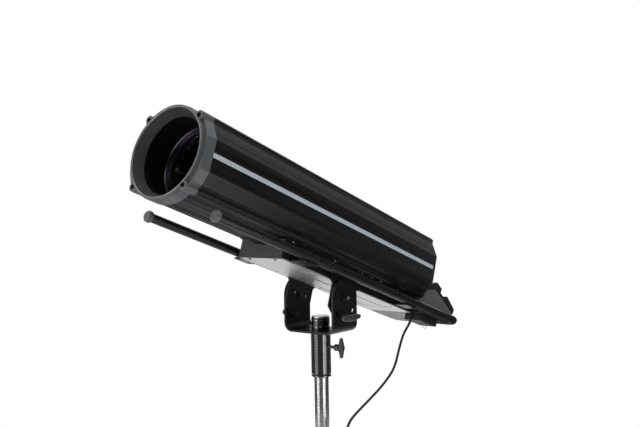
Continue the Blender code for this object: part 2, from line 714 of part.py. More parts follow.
def build_sleeve_knob():
    """The T-handle screw that clamps the sleeve on the stand tube."""
    reach = SLEEVE_RADIUS + SLEEVE_KNOB_SCREW_SHOWN
    knob, cross = t_knob("sleeve_knob", SLEEVE_KNOB_COLLAR, reach - TUBE_RADIUS - GAP,
                         SLEEVE_KNOB_BAR, KNOB_BAR_RADIUS * 0.85 + 0.5 * MM)
    height = SLEEVE_TOP - SLEEVE_KNOB_DROP
    turn = (0, math.pi / 2, 0)
    place(knob, (reach, 0, height), turn)
    cross.data.transform(Matrix.Rotation(math.pi / 2, 4, "Z"))
    place(cross, (reach, 0, height), turn)


def build_yoke():
    """The bent strap that carries the head, with its arc slots."""
    outer = YOKE_HALF_WIDTH
    inner = YOKE_INNER
    low = YOKE_BOTTOM
    top = PIVOT_HEIGHT + YOKE_HALF_DEPTH
    inner_bend = YOKE_BEND - YOKE_THICK
    centre = (outer - YOKE_BEND, low + YOKE_BEND)
    half = arc(centre, YOKE_BEND, -90, 0, 6) + [(outer, top), (inner, top)]
    half += arc(centre, inner_bend, 0, -90, 6)
    right_outer = half[:8]
    right_inner = half[8:]
    outline = right_outer + right_inner
    outline += [(-x, y) for x, y in reversed(right_inner)] + [(-x, y) for x, y in reversed(right_outer)]
    yoke = extruded("yoke", [outline], 2 * YOKE_HALF_DEPTH, BLACK_PAINT)
    place(yoke, (0, 0, 0), ALONG_Y, YOKE)

    reach = 2 * YOKE_HALF_WIDTH + YOKE_BEND
    depth = YOKE_HALF_DEPTH
    below = low - YOKE_THICK
    arm = [(-depth, below), (depth, below)] + arc((0, PIVOT_HEIGHT), depth, 0, 180, 24)
    trim = plate_across("yoke_arm_shape", [arm], -reach / 2, reach / 2, BLACK_PAINT, YOKE)
    combine(yoke, trim, "INTERSECT")

    pivot = (0, PIVOT_HEIGHT)
    bolt = circle(pivot, PIVOT_BOLT_RADIUS + GAP, SMALL_STEPS)
    combine(yoke, plate_across("yoke_pivot_hole", [bolt], -reach / 2, reach / 2, STEEL, YOKE), "DIFFERENCE")
    slot_half = STUD_RADIUS + 2 * GAP
    sweep = TILT_HALF_TRAVEL + 1.0
    slot = arc(pivot, SLOT_RADIUS + slot_half, -90 - sweep, -90 + sweep, 20)
    end = (pivot[0] + SLOT_RADIUS * math.sin(math.radians(sweep)),
           pivot[1] - SLOT_RADIUS * math.cos(math.radians(sweep)))
    slot += arc(end, slot_half, sweep - 90, sweep + 90, 6)[1:-1]
    slot += arc(pivot, SLOT_RADIUS - slot_half, -90 + sweep, -90 - sweep, 20)
    slot += arc((-end[0], end[1]), slot_half, 90 - sweep, 270 - sweep, 6)[1:-1]
    combine(yoke, plate_across("yoke_slots", [slot], -reach / 2, reach / 2, STEEL, YOKE), "DIFFERENCE")
    hole = cylinder("yoke_hub_hole", NECK_RADIUS + GAP, low - YOKE_THICK, low + 2 * YOKE_THICK, STEEL,
                    FINE_STEPS)
    combine(yoke, place(hole, parent=YOKE), "DIFFERENCE")


def build_pivots():
    """One pivot bolt through each yoke arm, headed outside and nutted inside the channel."""
    low = YOKE_HALF_WIDTH + GAP
    washer = low + WASHER_THICK
    nut_at = BRACKET_IN - GAP
    head = PIVOT_HEAD_RADIUS
    top = washer + PIVOT_HEAD_HEIGHT
    for side, word in ((1, "right"), (-1, "left")):
        bolt = turned("pivot_bolt_" + word, [
            (0, top), (head * 0.85, top), (head, top - head * 0.15), (head, washer),
            (WASHER_RADIUS, washer), (WASHER_RADIUS, low), (PIVOT_BOLT_RADIUS, low),
            (PIVOT_BOLT_RADIUS, nut_at), (head, nut_at), (head, nut_at - head), (0, nut_at - head)],
            STEEL, MEDIUM_STEPS)
        place(bolt, (0, 0, PIVOT_HEIGHT), AXIS_TO_PLUS_X if side > 0 else AXIS_TO_MINUS_X, YOKE)


def build_tilt_knobs():
    """The two lock screws through the arc slots: a T-handle on the right, a round knob on the left."""
    start = YOKE_HALF_WIDTH + 2 * GAP
    back = start - BRACKET_IN + BRACKET_THICK
    knob, cross = t_knob("tilt_knob_right", TILT_KNOB_COLLAR, back, TILT_KNOB_BAR, COLLAR_RADIUS)
    cross.data.transform(Matrix.Rotation(math.radians(TILT_AT_REST), 4, "Z"))
    for item in (knob, cross):
        place(item, (start, 0, -SLOT_RADIUS), AXIS_TO_PLUS_X, HEAD)
    neck = ROUND_KNOB_NECK
    top = neck + ROUND_KNOB_LENGTH
    edge = ROUND_KNOB_RADIUS * 0.2
    knob = turned("tilt_knob_left", [
        (0, top), (ROUND_KNOB_RADIUS - 2 * edge, top), (ROUND_KNOB_RADIUS - edge, top - edge),
        (ROUND_KNOB_RADIUS, neck + edge), (ROUND_KNOB_RADIUS - edge, neck), (COLLAR_RADIUS, neck),
        (COLLAR_RADIUS, 0), (STUD_RADIUS, 0), (STUD_RADIUS, -back), (0, -back)], KNOB_GREY, SMALL_STEPS)
    place(knob, (-start, 0, -SLOT_RADIUS), AXIS_TO_MINUS_X, HEAD)


def build_housing():
    """Extruded housing, the front bezel with its round lip, and the rear cap."""
    housing = side_solid("housing", [housing_outline(HOUSING_RADIUS, True), housing_hollow()],
                         HOUSING_FRONT, HOUSING_REAR, HOUSING_BLACK, AXIS_ABOVE_PIVOT)
    mouth = LIP_RADIUS - LIP_WALL
    hole = circle((0, 0), mouth + LIP_WALL / 2, FINE_STEPS)
    bezel = side_solid("front_bezel", [housing_outline(LIP_RADIUS + BEZEL_STEP), hole],
                       BEZEL_FRONT, BEZEL_FRONT + BEZEL_LENGTH, BEZEL_GREY, AXIS_ABOVE_PIVOT)
    overlap = BEZEL_LENGTH * 0.6
    lip = optic("bezel_lip", [(mouth, LIP_LENGTH), (LIP_RADIUS, LIP_LENGTH), (LIP_RADIUS, -overlap),
                              (mouth, -overlap)], BEZEL_FRONT, BEZEL_GREY, FINE_STEPS, closed=True)
    combine(bezel, lip, "UNION")
    ear_front = LIP_LENGTH - EAR_SETBACK
    room = cylinder("ear_trim", mouth + LIP_WALL / 2, -BEZEL_LENGTH, 2 * LIP_LENGTH, STEEL, FINE_STEPS)
    place(room, (0, BEZEL_FRONT, AXIS_ABOVE_PIVOT), ALONG_Y, HEAD)
    for name, x, y in (("ear_a", BOSS_OUT, BOSS_UP), ("ear_b", -BOSS_OUT, BOSS_UP),
                       ("ear_c", BOSS_OUT, -BOSS_DOWN), ("ear_d", -BOSS_OUT, -BOSS_DOWN)):
        ear = cylinder(name, BOSS_RADIUS - GAP, -BEZEL_LENGTH / 3, ear_front, BEZEL_GREY, MEDIUM_STEPS)
        place(ear, (x, BEZEL_FRONT, AXIS_ABOVE_PIVOT + y), ALONG_Y, HEAD)
        combine(bezel, combine(ear, room, "DIFFERENCE"), "UNION")
    cap_front = HOUSING_REAR + GAP
    side_solid("rear_cap", [housing_outline(HOUSING_RADIUS)], cap_front,
               cap_front + REAR_CAP_LENGTH, BLACK_PLASTIC, AXIS_ABOVE_PIVOT)


def build_front_optics():
    """Ribbed baffle with its barrel, the lens ring and the front lens."""
    step = BAFFLE_CONE_LENGTH / BAFFLE_STEPS
    mouth = BAFFLE_OUTER - BAFFLE_MOUTH_WALL
    drop = (mouth - BARREL_RADIUS) / BAFFLE_STEPS
    front = LIP_LENGTH - LIP_WALL * 0.5
    back = BEZEL_FRONT - LENS_RING_FRONT + GAP
    inner = [(BARREL_RADIUS, back), (BARREL_RADIUS, front - BAFFLE_CONE_LENGTH)]
    for i in range(BAFFLE_STEPS - 1):
        z = front - BAFFLE_CONE_LENGTH + step * (i + 1)
        r = BARREL_RADIUS + drop * (i + 1)
        inner += [(r - drop * 0.3, z - step * 0.35), (r + drop * 0.45, z - step * 0.35)]
    inner.append((mouth, front))
    barrel = BARREL_RADIUS + BARREL_WALL
    elbow = front - BAFFLE_CONE_LENGTH
    outer = [(BAFFLE_OUTER, front), (BAFFLE_OUTER, elbow + BAFFLE_CONE_LENGTH * 0.4), (barrel, elbow),
             (barrel, back)]
    optic("baffle", outer + inner, BEZEL_FRONT, BAFFLE_GREY, FINE_STEPS, closed=True)

    hold = BARREL_RADIUS - LENS_RING_LIP
    seat = BARREL_RADIUS + GAP
    length = LENS_RING_LENGTH
    optic("lens_ring", [(BULKHEAD_RADIUS, 0), (BULKHEAD_RADIUS, -length), (seat, -length),
                        (seat, -LENS_RING_LIP), (hold, -LENS_RING_LIP), (hold, 0)],
          LENS_RING_FRONT, HOUSING_BLACK, FINE_STEPS, closed=True)
    face = -LENS_RING_LIP - GAP
    rim = hold - GAP
    radius = (rim * rim + LENS_CROWN * LENS_CROWN) / (2 * LENS_CROWN)
    crown = [(0, face + LENS_CROWN)]
    for i in range(1, 6):
        r = rim * i / 5
        crown.append((r, face + LENS_CROWN - radius + math.sqrt(radius * radius - r * r)))
    optic("front_lens", crown + [(BARREL_RADIUS, face), (BARREL_RADIUS, face - LENS_EDGE),
                                 (0, face - LENS_EDGE)], LENS_RING_FRONT, GLASS, FINE_STEPS)


def build_zoom():
    """Guide rods, the zoom carriage that slides on them and its lens, and the gate plate."""
    rod_front = LENS_RING_FRONT + LENS_RING_LENGTH + GAP
    for side, word in ((1, "right"), (-1, "left")):
        rod = cylinder("guide_rod_" + word, GUIDE_ROD_RADIUS, rod_front - GATE_REAR, 0, STEEL, SMALL_STEPS)
        place(rod, (side * GUIDE_ROD_OUT, rod_front, AXIS_ABOVE_PIVOT), ALONG_Y, HEAD)

    eyes = [circle((side * GUIDE_ROD_OUT, 0), GUIDE_ROD_RADIUS + GAP, SMALL_STEPS) for side in (-1, 1)]
    half = CARRIAGE_THICK / 2
    body = [circle((0, 0), CARRIAGE_RADIUS, FINE_STEPS), circle((0, 0), ZOOM_LENS_RADIUS + GAP, FINE_STEPS)]
    carriage = extruded("zoom_carriage", body + eyes, CARRIAGE_THICK, HOUSING_BLACK)
    place(carriage, (0, CARRIAGE_AT, AXIS_ABOVE_PIVOT), ALONG_Y, HEAD)
    rim = ZOOM_LENS_RADIUS
    radius = (rim * rim + ZOOM_LENS_CROWN * ZOOM_LENS_CROWN) / (2 * ZOOM_LENS_CROWN)
    edge = ZOOM_LENS_EDGE / 2
    front = []
    for i in range(5):
        r = rim * i / 4
        front.append((r, edge + ZOOM_LENS_CROWN - radius + math.sqrt(radius * radius - r * r)))
    rear = [(r, -z) for r, z in reversed(front)]
    lens = turned("zoom_lens", front + rear, GLASS, FINE_STEPS)
    place(lens, (0, CARRIAGE_AT, AXIS_ABOVE_PIVOT), ALONG_Y, HEAD)

    gate = [circle((0, 0), BULKHEAD_RADIUS, FINE_STEPS), circle((0, 0), GATE_OPENING, MEDIUM_STEPS)]
    side_solid("gate_plate", gate + eyes, GATE_AT, GATE_REAR, HOUSING_BLACK, AXIS_ABOVE_PIVOT)
    return half


def build_lamp():
    """Lamp plate with its LED, the finned heat sink, fan and power supply."""
    plate_rear = LED_PLATE_AT + LED_PLATE_THICK
    sink = side_solid("heat_sink", [circle((0, 0), BULKHEAD_RADIUS, FINE_STEPS)], LED_PLATE_AT, plate_rear,
                      PLATE_SILVER, AXIS_ABOVE_PIVOT)
    half = FIN_PITCH * (FIN_COUNT - 1) / 2 + FIN_THICK / 2
    base = plate_rear - LED_PLATE_THICK / 2
    web = plate_rear + FIN_THICK
    end = plate_rear + FIN_LENGTH
    comb = [(-half, base), (half, base)]
    for i in reversed(range(FIN_COUNT)):
        x = (i - (FIN_COUNT - 1) / 2) * FIN_PITCH
        comb += [(x + FIN_THICK / 2, end), (x - FIN_THICK / 2, end)]
        if i:
            comb += [(x - FIN_THICK / 2, web), (x - FIN_PITCH + FIN_THICK / 2, web)]
    fins = flat_plate("fins", [comb], AXIS_ABOVE_PIVOT - FIN_HALF_HEIGHT,
                      AXIS_ABOVE_PIVOT + FIN_HALF_HEIGHT, PLATE_SILVER)
    combine(sink, fins, "UNION")
    led = box("led_seat", (2 * LED_HALF_SIZE, 2 * LED_THICK, 2 * LED_HALF_SIZE), PLATE_SILVER)
    combine(sink, place(led, (0, LED_PLATE_AT, AXIS_ABOVE_PIVOT), parent=HEAD), "UNION")

    frame_front = end + GAP
    frame_rear = frame_front + FAN_FRAME_THICK
    opening = circle((0, 0), FAN_OPENING, FINE_STEPS)
    frame = side_solid("fan_frame", [circle((0, 0), BULKHEAD_RADIUS, FINE_STEPS), opening], frame_front,
                       frame_rear, BLACK_PLASTIC, AXIS_ABOVE_PIVOT)
    spoke_half = FAN_HUB_RADIUS * 0.3
    spokes = box("fan_spokes", (2 * FAN_OPENING + 2 * spoke_half, spoke_half, 2 * spoke_half), BLACK_PLASTIC)
    place(spokes, (0, frame_rear - spoke_half / 2 - GAP, AXIS_ABOVE_PIVOT), parent=HEAD)
    combine(frame, spokes, "UNION")
    fan_at = frame_front + (FAN_FRAME_THICK - spoke_half) / 2 - GAP
    rotor = optic("fan_rotor", [(0, FAN_LENGTH / 2), (FAN_HUB_RADIUS, FAN_LENGTH / 2),
                                (FAN_HUB_RADIUS, -FAN_LENGTH / 2), (0, -FAN_LENGTH / 2)],
                  fan_at, KNOB_GREY, MEDIUM_STEPS)
    inner = FAN_HUB_RADIUS * 0.6
    length = FAN_RADIUS - inner
    blade = box("blade", (length, FAN_LENGTH * 0.9, BLADE_THICK), KNOB_GREY)
    lean = Matrix.Rotation(math.radians(BLADE_LEAN), 4, "X")
    shift = Matrix.Translation((inner + length / 2, 0, 0))
    spins = [Matrix.Rotation(2 * math.pi * i / FAN_BLADES, 4, "Y") @ shift @ lean
             for i in range(FAN_BLADES)]
    for i, spin in enumerate(spins):
        copy = bpy.data.objects.new(f"blade_{i}", blade.data.copy())
        PARTS.objects.link(copy)
        copy.data.transform(spin)
        combine(rotor, place(copy, (0, fan_at, AXIS_ABOVE_PIVOT), parent=HEAD), "UNION")
    bpy.data.objects.remove(blade)


def build_chassis():
    """Hat-section channel, bright base plate and the front bracket."""
    side = CHANNEL_HALF_WIDTH
    out = side - SHEET + CHANNEL_FLANGE
    half = [(0, WEB_TOP), (side - SHEET, WEB_TOP), (side - SHEET, CHANNEL_TOP), (out, CHANNEL_TOP),
            (out, CHANNEL_TOP - SHEET), (side, CHANNEL_TOP - SHEET), (side, WEB_BOTTOM), (0, WEB_BOTTOM)]
    outline = half[1:7] + [(-x, y) for x, y in reversed(half[1:7])]
    side_solid("channel", [outline], CHANNEL_FRONT, CHANNEL_REAR, BLACK_PAINT)

    plate = flat_plate("base_plate", [rectangle((-CHANNEL_HALF_WIDTH, CHANNEL_FRONT),
                                                (CHANNEL_HALF_WIDTH, CHANNEL_REAR))],
                       BASE_PLATE_BOTTOM, BASE_PLATE_TOP, PLATE_SILVER)
    for name, s in (("plate_groove_right", 1), ("plate_groove_left", -1)):
        edges = sorted((s * PLATE_GROOVE_IN, s * PLATE_GROOVE_OUT))
        groove = rectangle((edges[0], PLATE_GROOVE_FRONT), (edges[1], PLATE_GROOVE_REAR))
        cutter = flat_plate(name, [groove], BASE_PLATE_BOTTOM - PLATE_GROOVE_DEPTH,
                            BASE_PLATE_BOTTOM + PLATE_GROOVE_DEPTH, STEEL)
        combine(plate, cutter, "DIFFERENCE")

    front = CHANNEL_FRONT - GAP - SHEET
    arch = HOUSING_RADIUS + 2 * GAP
    rise = AXIS_ABOVE_PIVOT - FRONT_BRACKET_TOP
    start = math.degrees(math.atan2(-rise, math.sqrt(arch * arch - rise * rise)))
    top = arc((0, AXIS_ABOVE_PIVOT), arch, start, -180 - start, 16)
    half_width = CHANNEL_HALF_WIDTH
    face = [(-half_width, FRONT_BRACKET_TOP), (-half_width, BASE_PLATE_BOTTOM),
            (half_width, BASE_PLATE_BOTTOM), (half_width, FRONT_BRACKET_TOP)] + top
    bracket = side_solid("front_bracket", [face], front, front + SHEET, BRACKET_GREY)
    inside = CHANNEL_HALF_WIDTH - SHEET - GAP
    lip = flat_plate("front_bracket_lip", [rectangle((-inside, front + SHEET / 2),
                                                     (inside, front + FRONT_BRACKET_LIP))],
                     TRAY_BOTTOM, TRAY_TOP, BRACKET_GREY)
    combine(bracket, lip, "UNION")


def build_brackets():
    """Shield-shaped bracket plates on the channel's sides, each with its round friction boss."""
    tongue = BRACKET_TONGUE_RADIUS
    foot = (0, -SLOT_RADIUS)
    edge = BRACKET_HALF_WIDTH
    away = Vector((edge, BRACKET_TAPER_FROM + SLOT_RADIUS))
    lean = math.degrees(math.atan2(away.y, away.x) - math.acos(tongue / away.length))
    right = [(BRACKET_TOP_HALF_WIDTH, BRACKET_TOP), (BRACKET_TOP_HALF_WIDTH, BASE_PLATE_BOTTOM)]
    radius = BASE_PLATE_BOTTOM - BRACKET_FLARE_FROM
    right += arc((BRACKET_TOP_HALF_WIDTH, BRACKET_FLARE_FROM), radius, 90, 180, 5)[1:]
    shift = BRACKET_TOP_HALF_WIDTH - radius - edge
    right[-5:] = [(x - shift * i / 4, y) for i, (x, y) in enumerate(right[-5:])]
    right.append((edge, BRACKET_TAPER_FROM))
    bottom = arc(foot, tongue, lean, -180 - lean, 12)
    left = [(-x, y) for x, y in reversed(right)]
    outline = right + bottom + left
    holes = [circle((0, 0), PIVOT_BOLT_RADIUS + GAP, SMALL_STEPS),
             circle(foot, STUD_RADIUS + GAP, SMALL_STEPS)]
    start = BRACKET_OUT - BRACKET_THICK / 2
    for side, word in ((1, "right"), (-1, "left")):
        plate = plate_across("head_bracket_" + word, [outline] + holes, side * BRACKET_IN,
                             side * BRACKET_OUT, BLACK_PAINT)
        boss = plate_across("friction_boss_" + word, [circle((0, 0), BOSS_DISC_RADIUS, FINE_STEPS), holes[0]],
                            side * start, side * (YOKE_INNER - GAP), BLACK_PAINT)
        combine(plate, boss, "UNION")


def build_rails():
    """Side rails, front rods with their caps, rail clamps and the rear handle."""
    back = Matrix.Rotation(-math.pi / 2, 4, "X")
    inner = RAIL_RADIUS - RAIL_WALL
    length = RAIL_REAR - RAIL_FRONT
    rod_length = RAIL_FRONT - GAP - ROD_FRONT
    core = ROD_RADIUS - RAIL_WALL
    spigot = inner - GAP
    bore = spigot - RAIL_WALL
    collar = ROD_COLLAR_LENGTH
    cap_low = -ROD_CAP_LENGTH - GAP
    for side, word in ((1, "right"), (-1, "left")):
        rail = turned("rail_" + word, [(RAIL_RADIUS, length), (RAIL_RADIUS, 0), (inner, 0), (inner, length)],
                      BLACK_PAINT, MEDIUM_STEPS, closed=True)
        rail.data.transform(back)
        place(rail, (side * RAIL_OUT, RAIL_FRONT, RAIL_UP), parent=HEAD)
        rod = turned("front_rod_" + word, [
            (spigot, rod_length + ROD_SPIGOT), (spigot, rod_length), (RAIL_RADIUS, rod_length),
            (RAIL_RADIUS, rod_length - collar), (ROD_RADIUS, rod_length - collar), (ROD_RADIUS, 0),
            (core, 0), (core, rod_length - collar), (bore, rod_length), (bore, rod_length + ROD_SPIGOT)],
            BLACK_PAINT, MEDIUM_STEPS, closed=True)
        rod.data.transform(back)
        place(rod, (side * RAIL_OUT, ROD_FRONT, RAIL_UP), parent=HEAD)
    edge = ROD_CAP_RADIUS * 0.25
    for side, word in ((1, "right"), (-1, "left")):
        cap = turned("rod_cap_" + word, [
            (0, ROD_CAP_STEM), (core - GAP, ROD_CAP_STEM), (core - GAP, -GAP), (ROD_CAP_RADIUS, -GAP),
            (ROD_CAP_RADIUS, cap_low + edge), (ROD_CAP_RADIUS - edge, cap_low), (0, cap_low)],
            BEZEL_GREY, MEDIUM_STEPS)
        cap.data.transform(back)
        place(cap, (side * RAIL_OUT, ROD_FRONT, RAIL_UP), parent=HEAD)

    wall = CHANNEL_HALF_WIDTH + GAP
    low = CLAMP_TOP - CLAMP_THICK
    tab = CLAMP_TOP + CLAMP_TAB
    reach = RAIL_OUT + RAIL_RADIUS * 0.7
    foot = [(wall, low), (wall, tab), (wall + SHEET, tab), (wall + SHEET, CLAMP_TOP), (reach, CLAMP_TOP),
            (reach, low)]
    for end, at in (("front", CLAMPS_AT[0]), ("rear", CLAMPS_AT[1])):
        for side, word in ((1, "right"), (-1, "left")):
            outline = [(side * x, y) for x, y in foot]
            side_solid(f"{end}_clamp_{word}", [outline], at - CLAMP_LENGTH / 2, at + CLAMP_LENGTH / 2,
                       BLACK_PAINT)

    start = RAIL_REAR + GAP
    corner = HANDLE_REAR - HANDLE_BEND
    bend = RAIL_OUT - HANDLE_BEND
    path = [(RAIL_OUT, start)] + arc((bend, corner), HANDLE_BEND, 0, 90, 6)
    path += arc((-bend, corner), HANDLE_BEND, 90, 180, 6) + [(-RAIL_OUT, start)]
    curve = bpy.data.curves.new("rear_handle", "CURVE")
    curve.dimensions = "3D"
    curve.bevel_depth = HANDLE_RADIUS
    curve.bevel_resolution = 4
    curve.use_fill_caps = False
    spline = curve.splines.new("POLY")
    spline.points.add(len(path) - 1)
    for point, (x, y) in zip(spline.points, path):
        point.co = (x, y, 0, 1)
    handle = solid_from_curve("rear_handle", curve, BLACK_PAINT)
    shell = handle.modifiers.new("wall", "SOLIDIFY")
    shell.thickness = RAIL_WALL
    shell.offset = -1
    place(smooth(handle, 50), (0, 0, RAIL_UP), parent=HEAD)


def panel_point(along, out):
    """A point in (back, up), given along the sloping panel from its top and out of its face."""
    across = math.cos(PANEL_SLOPE)
    down = math.sin(PANEL_SLOPE)
    return (PANEL_TOP_AT + along * across + out * down, PANEL_TOP_UP - along * down + out * across)


def panel_matrix(across, along, out):
    """Place a turned piece on the panel, with its axis out of the panel's face."""
    back, up = panel_point(along, out)
    return (across, back, up), (-PANEL_SLOPE, 0, 0)


def build_rear():
    """Rear tray, control box, control panel, display, buttons and dials."""
    inside = CHANNEL_HALF_WIDTH - SHEET - GAP
    wide = TRAY_HALF_WIDTH
    shoulder = CHANNEL_REAR + GAP
    right = [(inside, TRAY_TONGUE_FROM), (inside, shoulder), (wide, shoulder), (wide, TRAY_REAR)]
    outline = right + [(-x, y) for x, y in reversed(right)]
    gland_hole = circle((GLAND_OUT, GLAND_AT), GLAND_STEM_RADIUS + GAP, SMALL_STEPS)
    flat_plate("rear_tray", [outline, gland_hole], TRAY_BOTTOM, TRAY_TOP, BLACK_PAINT)

    heel = HANDLE_REAR - HANDLE_RADIUS - 2 * SHEET
    shape = [(BOX_FRONT, BOX_BOTTOM), (BOX_FRONT, BOX_FRONT_TOP), (PANEL_TOP_AT, PANEL_TOP_UP),
             (PANEL_FOOT_AT, PANEL_FOOT_UP), (PANEL_FOOT_AT, BOX_HEEL_UP), (heel, BOX_HEEL_UP),
             (heel, BOX_BOTTOM)]
    control = plate_across("control_box", [shape], -BOX_HALF_WIDTH, BOX_HALF_WIDTH, PANEL_GREY)
    wall = BOX_WALL
    room = [(BOX_FRONT + wall, BOX_BOTTOM + wall), (BOX_FRONT + wall, BOX_FRONT_TOP - wall),
            panel_point(3 * wall, -3 * wall), panel_point(3 * wall, wall),
            panel_point(PANEL_RUN - 2 * wall, wall), (PANEL_FOOT_AT - wall, PANEL_FOOT_UP - 2 * wall),
            (PANEL_FOOT_AT - wall, BOX_HEEL_UP + wall), (heel - wall, BOX_HEEL_UP + wall),
            (heel - wall, BOX_BOTTOM + wall)]
    hollow = plate_across("control_box_room", [room], wall - BOX_HALF_WIDTH, BOX_HALF_WIDTH - wall, STEEL)
    combine(control, hollow, "DIFFERENCE")

    hood_end = HOOD_START + HOOD_LENGTH
    rise = (PANEL_TOP_UP - BOX_FRONT_TOP) / (PANEL_TOP_AT - BOX_FRONT)
    lap_up = BOX_FRONT_TOP + rise * (HOOD_FRONT - BOX_FRONT) + GAP
    nose_up = lap_up + rise * (HOOD_NOSE_AT - HOOD_FRONT) + HOOD_NOSE_HEIGHT
    end = PANEL_RUN + REST_OVERHANG
    profile = [(HOOD_FRONT, lap_up), (HOOD_NOSE_AT, nose_up), panel_point(HOOD_START, HOOD_HEIGHT),
               panel_point(hood_end, HOOD_HEIGHT), panel_point(hood_end + BOX_WALL, PANEL_THICK),
               panel_point(REST_START + REST_OVERHANG, PANEL_THICK), panel_point(REST_START, REST_HEIGHT),
               panel_point(end, REST_END_HEIGHT), panel_point(end + BOX_WALL, 2 * GAP),
               panel_point(0, GAP)]
    panel = plate_across("control_panel", [profile], -BOX_HALF_WIDTH, BOX_HALF_WIDTH, BLACK_PLASTIC)
    middle = (HOOD_START + hood_end) / 2
    pocket = box("display_pocket", (2 * (DISPLAY_HALF_WIDTH + GAP), DISPLAY_LENGTH + 2 * GAP,
                                    2 * (DISPLAY_THICK + GAP)), STEEL)
    spot, turn = panel_matrix(DISPLAY_OUT, middle, HOOD_HEIGHT)
    combine(panel, place(pocket, spot, turn, HEAD), "DIFFERENCE")
    glass = box("display", (2 * DISPLAY_HALF_WIDTH, DISPLAY_LENGTH, DISPLAY_THICK), DISPLAY_GLASS)
    spot, turn = panel_matrix(DISPLAY_OUT, middle, HOOD_HEIGHT - DISPLAY_THICK / 2)
    place(glass, spot, turn, HEAD)

    for i in range(BUTTON_COUNT):
        across = BUTTONS_FROM + BUTTON_PITCH * i
        spot, turn = panel_matrix(across, middle, HOOD_HEIGHT)
        well = cylinder(f"button_well_{i + 1}", BUTTON_RADIUS + GAP, -BUTTON_STEM - BUTTON_TRAVEL - GAP,
                        BUTTON_HEIGHT, STEEL, SMALL_STEPS)
        combine(panel, place(well, spot, turn, HEAD), "DIFFERENCE")
        edge = BUTTON_RADIUS * 0.15
        button = turned(f"button_{i + 1}", [
            (0, BUTTON_HEIGHT), (BUTTON_RADIUS - edge, BUTTON_HEIGHT), (BUTTON_RADIUS, BUTTON_HEIGHT - edge),
            (BUTTON_RADIUS, -BUTTON_STEM), (0, -BUTTON_STEM)], KNOB_GREY, SMALL_STEPS)
        place(button, spot, turn, HEAD)

    dial_at = (hood_end + REST_START) / 2 + BOX_WALL
    for name, side in (("dimmer_dial", -1), ("zoom_dial", 1)):
        spot, turn = panel_matrix(side * DIAL_OUT, dial_at, PANEL_THICK + GAP)
        bore = cylinder(name + "_hole", DIAL_STEM_RADIUS + GAP, -2 * DIAL_STEM, DIAL_STEM, STEEL, SMALL_STEPS)
        combine(panel, place(bore, spot, turn, HEAD), "DIFFERENCE")
        edge = DIAL_RADIUS * 0.15
        dial = turned(name, [
            (0, DIAL_HEIGHT), (DIAL_RADIUS - 2 * edge, DIAL_HEIGHT), (DIAL_RADIUS - edge, DIAL_HEIGHT - edge),
            (DIAL_RADIUS, 0), (DIAL_STEM_RADIUS, 0), (DIAL_STEM_RADIUS, -DIAL_STEM), (0, -DIAL_STEM)],
            KNOB_GREY, MEDIUM_STEPS)
        mark = box(name + "_mark", (edge, DIAL_RADIUS, 2 * edge), STEEL)
        mark.data.transform(Matrix.Translation((0, DIAL_RADIUS / 2, DIAL_HEIGHT)))
        combine(dial, place(mark, spot, turn, HEAD), "DIFFERENCE")
        place(dial, spot, turn, HEAD)


